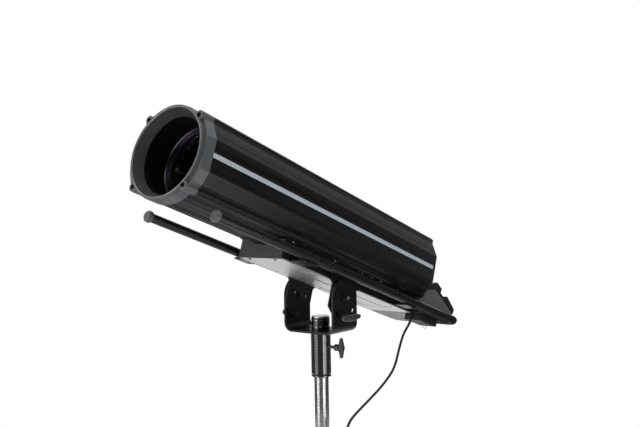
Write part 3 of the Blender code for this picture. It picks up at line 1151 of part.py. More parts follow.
def build_sockets():
    """Socket box under the tray with its sockets, switch, safety eye and ring."""
    top = TRAY_BOTTOM - GAP
    low = top - SOCKET_BOX_HEIGHT
    middle_up = (top + low) / 2
    across = (SOCKET_BOX_IN + SOCKET_BOX_OUT) / 2
    back = SOCKET_BOX_FROM + SOCKET_BOX_LENGTH
    case = box("socket_box", (SOCKET_BOX_OUT - SOCKET_BOX_IN, SOCKET_BOX_LENGTH, SOCKET_BOX_HEIGHT),
               BLACK_PLASTIC)
    place(case, (across, (SOCKET_BOX_FROM + back) / 2, middle_up), parent=HEAD)
    outward = (-math.pi / 2, 0, 0)
    spot = (SOCKET_BOX_OUT - XLR_RADIUS - 2 * SHEET, back, middle_up)
    socket = turned("dmx_socket", [
        (0, XLR_PROUD - XLR_DEPTH), (XLR_BORE, XLR_PROUD - XLR_DEPTH), (XLR_BORE, XLR_PROUD),
        (XLR_RADIUS, XLR_PROUD), (XLR_RADIUS, -XLR_DEPTH), (0, -XLR_DEPTH)], BLACK_PLASTIC, MEDIUM_STEPS)
    place(socket, spot, outward, HEAD)
    seat = cylinder("socket_seat", XLR_RADIUS + GAP, -XLR_DEPTH - GAP, XLR_DEPTH, STEEL, MEDIUM_STEPS)
    combine(case, place(seat, spot, outward, HEAD), "DIFFERENCE")

    switch_at = SOCKET_BOX_IN + SWITCH_HALF_WIDTH + SHEET
    spot = (switch_at, back, middle_up)
    room = box("switch_pocket", (2 * (SWITCH_HALF_WIDTH + GAP), 2 * (SWITCH_DEPTH + SHEET),
                                 2 * (SWITCH_HALF_HEIGHT + 2 * GAP)), STEEL)
    combine(case, place(room, spot, parent=HEAD), "DIFFERENCE")
    tip = SWITCH_HALF_HEIGHT * 0.9
    rocker = [(0, SWITCH_PROUD * 0.5), (tip, SWITCH_PROUD), (SWITCH_HALF_HEIGHT, 0),
              (SWITCH_DEPTH * 0.5, -SWITCH_DEPTH), (-SWITCH_DEPTH * 0.5, -SWITCH_DEPTH),
              (-SWITCH_HALF_HEIGHT, 0), (-tip, SWITCH_PROUD)]
    rock = math.radians(SWITCH_HALF_THROW)
    outline = [(x * math.cos(rock) - y * math.sin(rock), x * math.sin(rock) + y * math.cos(rock))
               for y, x in rocker]
    switch = extruded("power_switch", [outline], 2 * SWITCH_HALF_WIDTH, BLACK_PLASTIC)
    place(switch, spot, ALONG_X, HEAD)

    eye_low = low - GAP
    reach = EYE_RADIUS + EYE_WIRE
    foot = turned("safety_eye", [(0, 0), (reach, 0), (reach, -EYE_WIRE), (0, -EYE_WIRE)], STEEL, SMALL_STEPS)
    place(foot, (EYE_OUT, EYE_AT, eye_low), parent=HEAD)
    loop = turned("safety_eye_loop", circle((EYE_RADIUS, 0), EYE_WIRE, 8), STEEL, SMALL_STEPS, closed=True)
    flip_ring(loop)
    loop.data.transform(Matrix.Rotation(math.pi / 2, 4, "Y"))
    loop_at = eye_low - EYE_WIRE * 1.5 - EYE_RADIUS
    place(loop, (EYE_OUT, EYE_AT, loop_at), parent=HEAD)
    combine(foot, loop, "UNION")
    ring = turned("safety_ring", circle((RING_RADIUS, 0), RING_WIRE, 8), STEEL, MEDIUM_STEPS, closed=True)
    flip_ring(ring)
    hang_at = loop_at - EYE_RADIUS + EYE_WIRE + RING_WIRE + GAP
    level = math.radians(TILT_AT_REST)
    ring.data.transform(Matrix.Rotation(math.pi / 2, 4, "X"))
    ring.data.transform(Matrix.Translation((0, 0, -RING_RADIUS)))
    place(ring, (EYE_OUT, EYE_AT, hang_at), (level, 0, 0), HEAD)


def flip_ring(item):
    """Point the faces of a turned closed ring outwards."""
    work = bmesh.new()
    work.from_mesh(item.data)
    bmesh.ops.recalc_face_normals(work, faces=work.faces)
    work.to_mesh(item.data)
    work.free()


def head_to_world(point):
    """Turn a point of the level head into world coordinates at rest."""
    turn = Matrix.Rotation(-math.radians(TILT_AT_REST), 4, "X")
    return Matrix.Translation((0, 0, PIVOT_HEIGHT)) @ turn @ Vector(point)


def smooth_route(points, spacing):
    """Points along a Catmull-Rom curve through the given ones, about a spacing apart."""
    pts = [points[0] * 2 - points[1]] + points + [points[-1] * 2 - points[-2]]
    route = [points[0]]
    for i in range(1, len(pts) - 2):
        a, b, c, d = pts[i - 1:i + 3]
        count = max(1, round((c - b).length / spacing))
        for k in range(1, count + 1):
            t = k / count
            route.append(0.5 * (2 * b + (c - a) * t + (2 * a - 5 * b + 4 * c - d) * t * t
                                + (3 * b - a - 3 * c + d) * t * t * t))
    return route


def build_cord():
    """Gland with its strain relief, the hanging cord, its coil and the plug."""
    top = TRAY_BOTTOM - GAP
    flange = top - GLAND_FLANGE
    stem_top = TRAY_TOP + SHEET
    gland = turned("cord_gland", [
        (0, stem_top), (GLAND_STEM_RADIUS, stem_top), (GLAND_STEM_RADIUS, top), (GLAND_FLANGE_RADIUS, top),
        (GLAND_FLANGE_RADIUS, flange), (0, flange)], BLACK_PLASTIC, SMALL_STEPS)
    place(gland, (GLAND_OUT, GLAND_AT, 0), parent=HEAD)
    relief = turned("gland_relief", [
        (0, GLAND_FLANGE / 2), (RELIEF_TOP_RADIUS, GLAND_FLANGE / 2), (RELIEF_TOP_RADIUS, -GLAND_FLANGE),
        (RELIEF_END_RADIUS, -RELIEF_LENGTH), (0, -RELIEF_LENGTH)], BLACK_PLASTIC, SMALL_STEPS)
    lean = math.radians(RELIEF_LEAN)
    root = Vector((GLAND_OUT, GLAND_AT, flange))
    combine(gland, place(relief, root, (-lean, 0, 0), HEAD), "UNION")

    away = Vector((0, -math.sin(lean), -math.cos(lean)))
    start = head_to_world(root + away * (RELIEF_LENGTH + GAP))
    lead = head_to_world(root + away * (RELIEF_LENGTH + 3 * CORD_RADIUS))
    points = [start, lead] + [start + Vector(p) * MM for p in CORD_ROUTE]
    curve = bpy.data.curves.new("cord", "CURVE")
    curve.dimensions = "3D"
    curve.bevel_depth = CORD_RADIUS
    curve.bevel_resolution = 2
    curve.use_fill_caps = True
    route = smooth_route(points, 5 * CORD_RADIUS)
    spline = curve.splines.new("POLY")
    spline.points.add(len(route) - 1)
    for point, place_at in zip(spline.points, route):
        point.co = (*place_at, 1)
    smooth(solid_from_curve("cord", curve, CORD_RUBBER), 50)

    foot = points[-1]
    wide = COIL_COUNT_WIDE * CORD_RADIUS
    deep = COIL_COUNT_DEEP * CORD_RADIUS
    reach = COIL_MEAN_RADIUS + CORD_RADIUS
    rise = math.sqrt((COIL_MEAN_RADIUS + deep) ** 2 - COIL_MEAN_RADIUS ** 2) + GAP
    centre = Vector((foot.x, foot.y + reach, foot.z - rise))
    edge = CORD_RADIUS * 0.6
    inner = COIL_MEAN_RADIUS - deep
    outer = COIL_MEAN_RADIUS + deep
    coil = turned("cord_coil", [
        (inner + edge, wide), (outer - edge, wide), (outer, wide - edge), (outer, edge - wide),
        (outer - edge, -wide), (inner + edge, -wide), (inner, edge - wide), (inner, wide - edge)],
        CORD_RUBBER, MEDIUM_STEPS, closed=True)
    coil.data.transform(Matrix.Rotation(math.pi / 2, 4, "Y"))
    place(coil, centre)

    face = -PLUG_RELIEF - PLUG_LENGTH
    waist = -PLUG_RELIEF * 1.1
    plug = turned("cord_plug", [
        (0, 0), (CORD_RADIUS, 0), (CORD_RADIUS * 1.5, -PLUG_RELIEF), (PLUG_RADIUS * 0.7, waist),
        (PLUG_RADIUS, waist - PLUG_LENGTH * 0.3), (PLUG_RADIUS, face), (0, face)], CORD_RUBBER, SMALL_STEPS)
    plug_at = centre + Vector((0, -reach, -rise))
    for name, s in (("plug_pin_a", 1), ("plug_pin_b", -1)):
        pin = cylinder(name, PIN_RADIUS, face - PIN_LENGTH, face + PIN_RADIUS, STEEL, TINY_STEPS)
        pin.data.transform(Matrix.Translation((0, s * PIN_SPACING, 0)))
        combine(plug, place(pin, plug_at), "UNION")
    place(plug, plug_at)


build_stand()
build_sleeve_knob()
build_yoke()
build_pivots()
build_tilt_knobs()
build_housing()
build_front_optics()
build_zoom()
build_lamp()
build_chassis()
build_brackets()
build_rails()
build_rear()
build_sockets()
build_cord()
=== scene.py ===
"""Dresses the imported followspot: finishes, small parts, mains cord, lights and camera.

World frame: metres, +Z up along the stand tube, beam along -Y, operator on the +Y side.
Pieces of the lamp head are drawn level about the tilt axis, as across, along and up, and
HEAD then places them at the tilt that the head rests at.
"""
import sys

import logging
import math
from collections.abc import Callable, Iterable
from dataclasses import dataclass, replace
from enum import Enum

import bpy
from mathutils import Matrix, Vector


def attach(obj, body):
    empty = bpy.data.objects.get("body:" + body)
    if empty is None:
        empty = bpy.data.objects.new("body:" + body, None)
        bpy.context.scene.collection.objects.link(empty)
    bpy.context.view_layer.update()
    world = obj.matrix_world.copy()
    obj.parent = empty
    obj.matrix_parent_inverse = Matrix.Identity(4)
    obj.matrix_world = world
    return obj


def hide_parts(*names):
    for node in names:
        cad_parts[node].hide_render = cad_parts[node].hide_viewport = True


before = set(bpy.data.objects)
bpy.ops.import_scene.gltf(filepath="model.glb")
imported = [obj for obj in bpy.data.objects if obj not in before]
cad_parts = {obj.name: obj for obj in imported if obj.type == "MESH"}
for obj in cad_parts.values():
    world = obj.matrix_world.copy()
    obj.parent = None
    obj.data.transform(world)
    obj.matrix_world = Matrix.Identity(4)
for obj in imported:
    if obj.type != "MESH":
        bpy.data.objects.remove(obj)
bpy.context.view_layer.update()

MM = 0.001
PIVOT_HEIGHT = 458.3 * MM
REST_TILT = math.radians(18.8)
HEAD = Matrix.Translation((0, 0, PIVOT_HEIGHT)) @ Matrix.Rotation(-REST_TILT, 4, "X")
AXIS_UP = 160 * MM
BACKWARDS = Matrix.Rotation(-math.pi / 2, 4, "X")
AXIS = Matrix.Translation((0, 0, AXIS_UP)) @ BACKWARDS
SIDES = (("right", 1), ("left", -1))
STILL = Matrix.Identity(4)
DOWN = (0, 0, -1)
REARWARDS = (0, 1, 0)
DUST = (0.30, 0.29, 0.27, 1)
LOG = logging.getLogger("followspot")

Piece = bpy.types.Object
NodeSocket = bpy.types.NodeSocket
Profile = list[tuple[float, float]]
Way = tuple[float, float, float]


# Shader nodes


class Grain(Enum):
    """How the fine marks of a finish lie on the piece."""

    PEEL = "even orange peel of a powder coat"
    MOULDED = "spark-eroded skin of a moulding"
    DRAWN = "lines along the head, from extruding or brushing"
    UPRIGHT = "lines up the stand, from drawing a tube"
    TURNED = "rings about the stand's axis, from a lathe"


class NodeSheet:
    """Adds nodes to one shader tree and joins their sockets."""

    def __init__(self, tree: bpy.types.NodeTree) -> None:
        """Keeps the tree that nodes are added to."""
        self.tree = tree

    @classmethod
    def material(cls, name: str) -> tuple[bpy.types.Material, "NodeSheet"]:
        """A new material and the sheet of its nodes."""
        made = bpy.data.materials.new(name)
        made.use_nodes = True
        return made, cls(made.node_tree)

    def fill(self, node: bpy.types.Node, fed: dict[str | int, object]) -> None:
        """Joins inputs of a node to sockets, or sets them to numbers or colours."""
        for key, value in fed.items():
            if isinstance(value, NodeSocket):
                self.tree.links.new(value, node.inputs[key])
            else:
                node.inputs[key].default_value = value

    def add(self, kind: str, fed: dict[str | int, object] | None = None,
            **settings: object) -> bpy.types.Node:
        """Adds a node, sets its properties and feeds its inputs.

        Args:
            kind: Blender's name for the node's type.
            fed: Name or number of each input, with the socket, number or colour it gets.
            settings: Properties of the node and their values.

        Returns:
            The new node.
        """
        node = self.tree.nodes.new(kind)
        for name, value in settings.items():
            setattr(node, name, value)
        self.fill(node, fed or {})
        return node

    def maths(self, operation: str, a: object, b: object = 0.0,
              clamp: bool = False) -> NodeSocket:
        """Works out one sum of sockets or numbers, kept from 0 to 1 if clamped."""
        return self.add("ShaderNodeMath", {0: a, 1: b}, operation=operation,
                        use_clamp=clamp).outputs[0]

    def blend(self, share: object, a: object, b: object) -> NodeSocket:
        """Mixes two colours, by how much the second one counts."""
        return self.add("ShaderNodeMix", {"Factor": share, 6: a, 7: b},
                        data_type="RGBA").outputs[2]

    def noise(self, place: NodeSocket, scale: float, detail: float,
              rough: float = 0.5) -> NodeSocket:
        """A noise pattern's value.

        Args:
            place: Coordinates that it is drawn on.
            scale: Patches in a metre.
            detail: Octaves of finer noise.
            rough: Weight of the finer noise.

        Returns:
            The value's socket, from 0 to 1.
        """
        fed = {"Vector": place, "Scale": scale, "Detail": detail, "Roughness": rough}
        return self.add("ShaderNodeTexNoise", fed).outputs["Fac"]

    def range(self, value: object, low: float, high: float, to_low: float = 0.0,
              to_high: float = 1.0) -> NodeSocket:
        """Maps a value from one range to another, smoothly and clamped."""
        fed = dict(enumerate((value, low, high, to_low, to_high)))
        return self.add("ShaderNodeMapRange", fed, interpolation_type="SMOOTHSTEP").outputs[0]


class Effects:
    """Shader groups that several finishes share, each built once."""

    @classmethod
    def use(cls, sheet: NodeSheet,
            draw: Callable[[NodeSheet, dict[str, NodeSocket]], dict[str, NodeSocket]],
            **fed: object) -> dict[str, NodeSocket]:
        """Adds a group to a material, and builds the group the first time.

        Args:
            sheet: The material's nodes.
            draw: Adds the group's own nodes, and tells what each output gets.
            fed: What each input gets.

        Returns:
            The group's outputs in the material.
        """
        tree = bpy.data.node_groups.get(draw.__name__)
        if not tree:
            tree = bpy.data.node_groups.new(draw.__name__, "ShaderNodeTree")
            inner = NodeSheet(tree)
            for label, value in fed.items():
                cls.socket(tree, label, "INPUT", isinstance(value, NodeSocket))
            told = draw(inner, dict(inner.add("NodeGroupInput").outputs.items()))
            for label, result in told.items():
                cls.socket(tree, label, "OUTPUT", result.type == "VECTOR")
            inner.add("NodeGroupOutput", told)
        return dict(sheet.add("ShaderNodeGroup", fed, node_tree=tree).outputs.items())

    @staticmethod
    def socket(tree: bpy.types.NodeTree, label: str, way: str, vector: bool) -> None:
        """Gives a group an input or output, for a vector or a number."""
        kind = "NodeSocketVector" if vector else "NodeSocketFloat"
        tree.interface.new_socket(label, in_out=way, socket_type=kind)

    @staticmethod
    def edge_wear_and_highlight(sheet: NodeSheet, given: dict[str, NodeSocket]) -> dict[str, NodeSocket]:
        """Rounded edges as a normal, and a patchy mask along them where handling has scuffed the
        paint; on the bezel the mask also lays a painted highlight along the edges.
        """
        soft = sheet.add("ShaderNodeBevel", {"Radius": given["Radius"]}, samples=6).outputs[0]
        true = sheet.add("ShaderNodeNewGeometry").outputs["Normal"]
        dot = sheet.add("ShaderNodeVectorMath", {0: soft, 1: true}, operation="DOT_PRODUCT")
        edge = sheet.range(sheet.maths("SUBTRACT", 1.0, dot.outputs["Value"]), 0.015, 0.16)
        rubbed_and_highlit = sheet.range(sheet.noise(given["Vector"], 160.0, 5.0, 0.65), 0.42, 0.68)
        mask = sheet.maths("MULTIPLY", edge, rubbed_and_highlit)
        return {"Mask": sheet.maths("MULTIPLY", mask, given["Amount"], True), "Normal": soft}

    @staticmethod
    def fine_grain(sheet: NodeSheet, given: dict[str, NodeSocket]) -> dict[str, NodeSocket]:
        """Fine noise on scaled coordinates: a height, and a slower tone for the colour."""
        fine = sheet.noise(given["Vector"], 1.0, 3.0, 0.6)
        slow = sheet.noise(given["Vector"], 0.17, 3.0, 0.55)
        both = sheet.maths("ADD", sheet.maths("MULTIPLY", fine, 0.7),
                           sheet.maths("MULTIPLY", slow, 0.3))
        return {"Height": both, "Tone": sheet.range(slow, 0.25, 0.75)}

    @staticmethod
    def handling(sheet: NodeSheet, given: dict[str, NodeSocket]) -> dict[str, NodeSocket]:
        """Dull smudges, and dust that settles on faces that look up."""
        broad = sheet.noise(given["Vector"], 14.0, 4.0, 0.6)
        true = sheet.add("ShaderNodeNewGeometry").outputs["Normal"]
        parts = sheet.add("ShaderNodeSeparateXYZ", {0: true})
        up = sheet.range(parts.outputs["Z"], 0.45, 1.0)
        specks = sheet.noise(given["Vector"], 420.0, 4.0, 0.7)
        dust = sheet.maths("MULTIPLY", up, sheet.range(specks, 0.38, 0.7, 0.35))
        return {"Smudge": sheet.range(broad, 0.4, 0.72),
                "Dust": sheet.maths("MULTIPLY", dust, given["Dust"], True)}


@dataclass(frozen=True)
class Finish:
    """A painted, moulded or metal surface with its grain, scuffed edges, smudges and dust; the
    bezel's light edges are also a painted highlight.
    """

    name: str
    colour: tuple[float, float, float]
    rough: float
    grain: Grain = Grain.PEEL
    size: float = 1.0 * MM
    depth: float = 0.02 * MM
    tone: float = 0.25
    metal: float = 0.0
    specular: float = 0.35
    coat: float = 0.0
    coat_rough: float = 0.1
    edge: float = 0.6 * MM
    worn_and_highlight: tuple[float, float, float] = (0.16, 0.16, 0.165)
    wear_and_highlight: float = 0.4
    dust: float = 0.06

    def coordinates(self, sheet: NodeSheet, place: NodeSocket) -> NodeSocket:
        """Coordinates that count grains, stretched along the marks.

        Args:
            sheet: The material's nodes.
            place: Object coordinates.

        Returns:
            The scaled coordinates' socket.
        """
        size = self.size
        if self.grain is Grain.TURNED:
            x, y, z = sheet.add("ShaderNodeSeparateXYZ", {0: place}).outputs
            squares = [sheet.maths("MULTIPLY", value, value) for value in (x, y)]
            ring = sheet.maths("SQRT", sheet.maths("ADD", *squares))
            scaled = {0: sheet.maths("DIVIDE", ring, size), 1: sheet.maths("DIVIDE", z, size)}
            return sheet.add("ShaderNodeCombineXYZ", scaled).outputs[0]
        scale = {Grain.DRAWN: (size, size * 90, size), Grain.UPRIGHT: (size, size, size * 90)}
        fed = {"Vector": place, "Scale": scale.get(self.grain, (size, size, size))}
        if self.grain is Grain.DRAWN:
            fed |= {"Location": (0, 0, PIVOT_HEIGHT), "Rotation": (-REST_TILT, 0, 0)}
        return sheet.add("ShaderNodeMapping", fed, vector_type="TEXTURE").outputs[0]

    def material(self) -> bpy.types.Material:
        """The finish as a Blender material, built once."""
        if self.name in bpy.data.materials:
            return bpy.data.materials[self.name]
        made, sheet = NodeSheet.material(self.name)
        place = sheet.add("ShaderNodeTexCoord").outputs["Object"]
        grain = Effects.use(sheet, Effects.fine_grain, Vector=self.coordinates(sheet, place))
        wear_and_highlight = Effects.use(sheet, Effects.edge_wear_and_highlight, Vector=place, Radius=self.edge,
                           Amount=self.wear_and_highlight)
        marks = Effects.use(sheet, Effects.handling, Vector=place, Dust=self.dust)
        dark = tuple(c * (1 - self.tone) for c in self.colour) + (1,)
        light = tuple(min(1.0, c * (1 + self.tone)) for c in self.colour) + (1,)
        paint = sheet.blend(grain["Tone"], dark, light)
        # Scuffed edges take the light edge colour; on the bezel this is also a painted highlight.
        rubbed_and_highlit = sheet.blend(wear_and_highlight["Mask"], paint, (*self.worn_and_highlight, 1))
        spread = sheet.add("ShaderNodeMath", {0: grain["Tone"], 1: 0.12, 2: self.rough - 0.06},
                           operation="MULTIPLY_ADD").outputs[0]
        smudged = sheet.maths("ADD", spread, sheet.maths("MULTIPLY", marks["Smudge"], 0.08))
        settled = sheet.maths("MULTIPLY", marks["Dust"], 0.5)
        bump = sheet.add("ShaderNodeBump", {"Distance": self.depth, "Height": grain["Height"],
                                            "Normal": wear_and_highlight["Normal"]})
        sheet.fill(sheet.tree.nodes["Principled BSDF"], {
            "Base Color": sheet.blend(marks["Dust"], rubbed_and_highlit, DUST),
            "Roughness": sheet.maths("ADD", smudged, settled, True),
            "Normal": bump.outputs["Normal"], "Metallic": self.metal,
            "Specular IOR Level": self.specular, "Coat Weight": self.coat,
            "Coat Roughness": self.coat_rough})
        return made


@dataclass(frozen=True)
class CoatedGlass:
    """Lens glass with a thin coating, and a film of dust in its roughness."""

    name: str
    tint: tuple[float, float, float]
    index: float = 1.52
    film: float = 330.0

    def material(self) -> bpy.types.Material:
        """The glass as a Blender material, built once."""
        if self.name in bpy.data.materials:
            return bpy.data.materials[self.name]
        made, sheet = NodeSheet.material(self.name)
        place = sheet.add("ShaderNodeTexCoord").outputs["Object"]
        film = sheet.noise(place, 45.0, 5.0, 0.65)
        dimmed = (*(c * 0.93 for c in self.tint), 1)
        bump = sheet.add("ShaderNodeBump", {"Distance": 0.001 * MM, "Height": film})
        sheet.fill(sheet.tree.nodes["Principled BSDF"], {
            "Base Color": sheet.blend(sheet.range(film, 0.3, 0.9), (*self.tint, 1), dimmed),
            "Roughness": sheet.range(film, 0.35, 0.8, 0.015, 0.09),
            "Normal": bump.outputs["Normal"], "Transmission Weight": 1.0, "IOR": self.index,
            "Thin Film Thickness": self.film, "Thin Film IOR": 1.38})
        return made


class Palette:
    """The lamp's finishes, one for each kind of surface that the photograph shows."""

    HOUSING = Finish("anodised_housing", (0.0100, 0.0086, 0.0084), 0.34, Grain.DRAWN, 1.6 * MM,
                     0.003 * MM, 0.5, specular=0.2, wear_and_highlight=0.5, dust=0.02)
    POWDER = Finish("black_powder_coat", (0.0095, 0.0090, 0.0095), 0.3, Grain.PEEL, 1.3 * MM,
                    0.015 * MM, specular=0.25, dust=0.02)
    BRACKET = Finish("grey_powder_coat", (0.045, 0.046, 0.049), 0.42, Grain.PEEL, 1.3 * MM,
                     0.03 * MM, worn_and_highlight=(0.3, 0.3, 0.31))
    # The bezel's light edge colour, strong scuffing and wide edge paint a highlight along its edges,
    # besides scuffed paint.
    BEZEL = Finish("grey_bezel_paint", (0.085, 0.09, 0.095), 0.4, Grain.PEEL, 1.0 * MM,
                   0.02 * MM, 0.12, specular=0.4, worn_and_highlight=(0.4, 0.41, 0.42), wear_and_highlight=0.6, edge=0.8 * MM)
    BAFFLE = Finish("baffle_moulding", (0.055, 0.054, 0.056), 0.5, Grain.MOULDED, 0.9 * MM,
                    0.02 * MM, 0.12, specular=0.3, wear_and_highlight=0.15, edge=0.2 * MM)
    # Near black, darker than paint: flocking in the barrel plus painted shade for its dark depth,
    # and painted shade on the ear screws.
    FLOCK = Finish("flocked_black_and_painted_shade", (0.003, 0.003, 0.003), 0.8, Grain.MOULDED, 0.5 * MM,
                   0.03 * MM, specular=0.08, wear_and_highlight=0.1, worn_and_highlight=(0.01, 0.01, 0.01), dust=0.0)
    RIM = Finish("satin_rim", (0.30, 0.30, 0.31), 0.3, Grain.PEEL, 0.7 * MM, 0.001 * MM, 0.1,
                 metal=1.0, specular=0.5, edge=0.2 * MM, wear_and_highlight=0.2, worn_and_highlight=(0.5, 0.5, 0.5), dust=0.02)
    INSIDE = Finish("inside_black", (0.012, 0.012, 0.013), 0.5, Grain.PEEL, 1.0 * MM,
                    0.03 * MM, specular=0.3, wear_and_highlight=0.3)
    SILVER = Finish("brushed_silver", (0.56, 0.565, 0.575), 0.42, Grain.DRAWN, 0.35 * MM,
                    0.004 * MM, 0.06, metal=1.0, specular=0.5, worn_and_highlight=(0.8, 0.8, 0.8), wear_and_highlight=0.3,
                    dust=0.02)
    CHROME = Finish("chromed_tube", (0.36, 0.35, 0.35), 0.22, Grain.UPRIGHT, 0.1 * MM,
                    0.0004 * MM, 0.04, metal=1.0, specular=0.5, edge=0.1 * MM,
                    worn_and_highlight=(0.8, 0.8, 0.8), wear_and_highlight=0.1, dust=0.02)
    STEEL = Finish("bright_steel", (0.56, 0.57, 0.58), 0.24, Grain.PEEL, 0.5 * MM, 0.006 * MM,
                   0.1, metal=1.0, specular=0.5, edge=0.3 * MM, worn_and_highlight=(0.75, 0.75, 0.75),
                   wear_and_highlight=0.3, dust=0.02)
    BROWNED = Finish("browned_bolt", (0.05, 0.042, 0.034), 0.35, Grain.PEEL, 0.5 * MM,
                     0.01 * MM, metal=0.6, edge=0.3 * MM, worn_and_highlight=(0.2, 0.18, 0.15))
    TURNED_STEEL = replace(STEEL, name="turned_steel", grain=Grain.TURNED, size=0.4 * MM)
    SLEEVE = Finish("gloss_black_steel", (0.006, 0.006, 0.0065), 0.2, Grain.PEEL, 0.5 * MM,
                    0.002 * MM, specular=0.8, edge=0.15 * MM, coat=1.0, dust=0.03)
    BLACK_SCREW = Finish("black_oxide_screw", (0.012, 0.012, 0.013), 0.32, Grain.PEEL,
                         0.4 * MM, 0.008 * MM, metal=0.4, edge=0.25 * MM, wear_and_highlight=0.7,
                         worn_and_highlight=(0.3, 0.3, 0.31))
    PLASTIC = Finish("moulded_black", (0.014, 0.014, 0.015), 0.5, Grain.MOULDED, 0.45 * MM,
                     0.02 * MM, 0.15, specular=0.4, edge=0.8 * MM, wear_and_highlight=0.25,
                     worn_and_highlight=(0.05, 0.05, 0.052))
    KNOB = Finish("moulded_grey", (0.036, 0.037, 0.04), 0.42, Grain.MOULDED, 0.5 * MM,
                  0.02 * MM, 0.15, specular=0.4, edge=1.6 * MM, wear_and_highlight=0.35,
                  worn_and_highlight=(0.1, 0.1, 0.105))
    BOX = Finish("control_box_paint", (0.115, 0.114, 0.120), 0.42, Grain.PEEL, 1.2 * MM,
                 0.03 * MM, 0.12, worn_and_highlight=(0.28, 0.28, 0.29))
    RUBBER = Finish("cord_sheath", (0.012, 0.012, 0.013), 0.5, Grain.MOULDED, 0.8 * MM,
                    0.004 * MM, 0.05, specular=0.3, edge=0.1 * MM, wear_and_highlight=0.0,
                    worn_and_highlight=(0.05, 0.05, 0.05), dust=0.01)
    TAPE = Finish("reflective_strip", (0.44, 0.50, 0.56), 0.38, Grain.MOULDED, 0.9 * MM,
                  0.02 * MM, 0.08, specular=0.5, edge=0.2 * MM, wear_and_highlight=0.2,
                  worn_and_highlight=(0.3, 0.33, 0.36), dust=0.03)
    MARK = Finish("white_marking", (0.6, 0.6, 0.6), 0.5, Grain.PEEL, 0.6 * MM, 0.01 * MM, 0.1,
                  edge=0.1 * MM, wear_and_highlight=0.2, worn_and_highlight=(0.3, 0.3, 0.3))
    SCREEN = Finish("display_window", (0.006, 0.008, 0.009), 0.12, Grain.PEEL, 3.0 * MM,
                    0.005 * MM, 0.2, specular=0.5, coat=0.6, coat_rough=0.04, edge=0.4 * MM,
                    wear_and_highlight=0.1, dust=0.05)
    STRAP = Finish("hook_and_loop_strap", (0.01, 0.01, 0.011), 0.85, Grain.MOULDED, 0.5 * MM,
                   0.12 * MM, 0.3, specular=0.2, edge=0.3 * MM, wear_and_highlight=0.1,
                   worn_and_highlight=(0.04, 0.04, 0.04))
    GLASS = CoatedGlass("coated_lens", (0.93, 0.9, 0.95))


# Modelling


def spot(across: float, along: float, up: float) -> Vector:
    """A point of the level head, given in millimetres."""
    return Vector((across, along, up)) * MM


def facing(at: Vector, way: Way) -> Matrix:
    """The place of a part whose own Z is to point a given way.

    Args:
        at: Where its origin goes.
        way: Direction that its Z axis takes.

    Returns:
        The matrix that puts it there.
    """
    return Matrix.Translation(at) @ Vector(way).to_track_quat("Z", "Y").to_matrix().to_4x4()


def both_sides(across: float, places: Iterable[tuple[float, float]],
               way: Way | None = None) -> list[tuple[Vector, Way]]:
    """Places on both sides of the head.

    Args:
        across: Distance from the middle, in millimetres.
        places: Along and up of each place on one side.
        way: Direction that a part there faces, if not outwards.

    Returns:
        Each place and the way that its part faces.
    """
    return [(spot(side * across, along, up), way or (side, 0, 0))
            for side in (-1, 1) for along, up in places]


def round_wire(radius: float, height: float, thick: float,
               step: int) -> Profile:
    """The closed profile of a ring of round wire.

    Args:
        radius: From the axis to the wire's middle.
        height: Of the wire's middle.
        thick: Radius of the wire.
        step: Degrees between the profile's corners.

    Returns:
        Radius and height of each corner.
    """
    turns = [math.radians(angle) for angle in range(0, 360, step)]
    return [(radius + thick * math.cos(t), height + thick * math.sin(t)) for t in turns]


def ease(t: float) -> float:
    """A smooth step from 0 to 1."""
    t = min(1.0, max(0.0, t))
    return t * t * (3 - 2 * t)


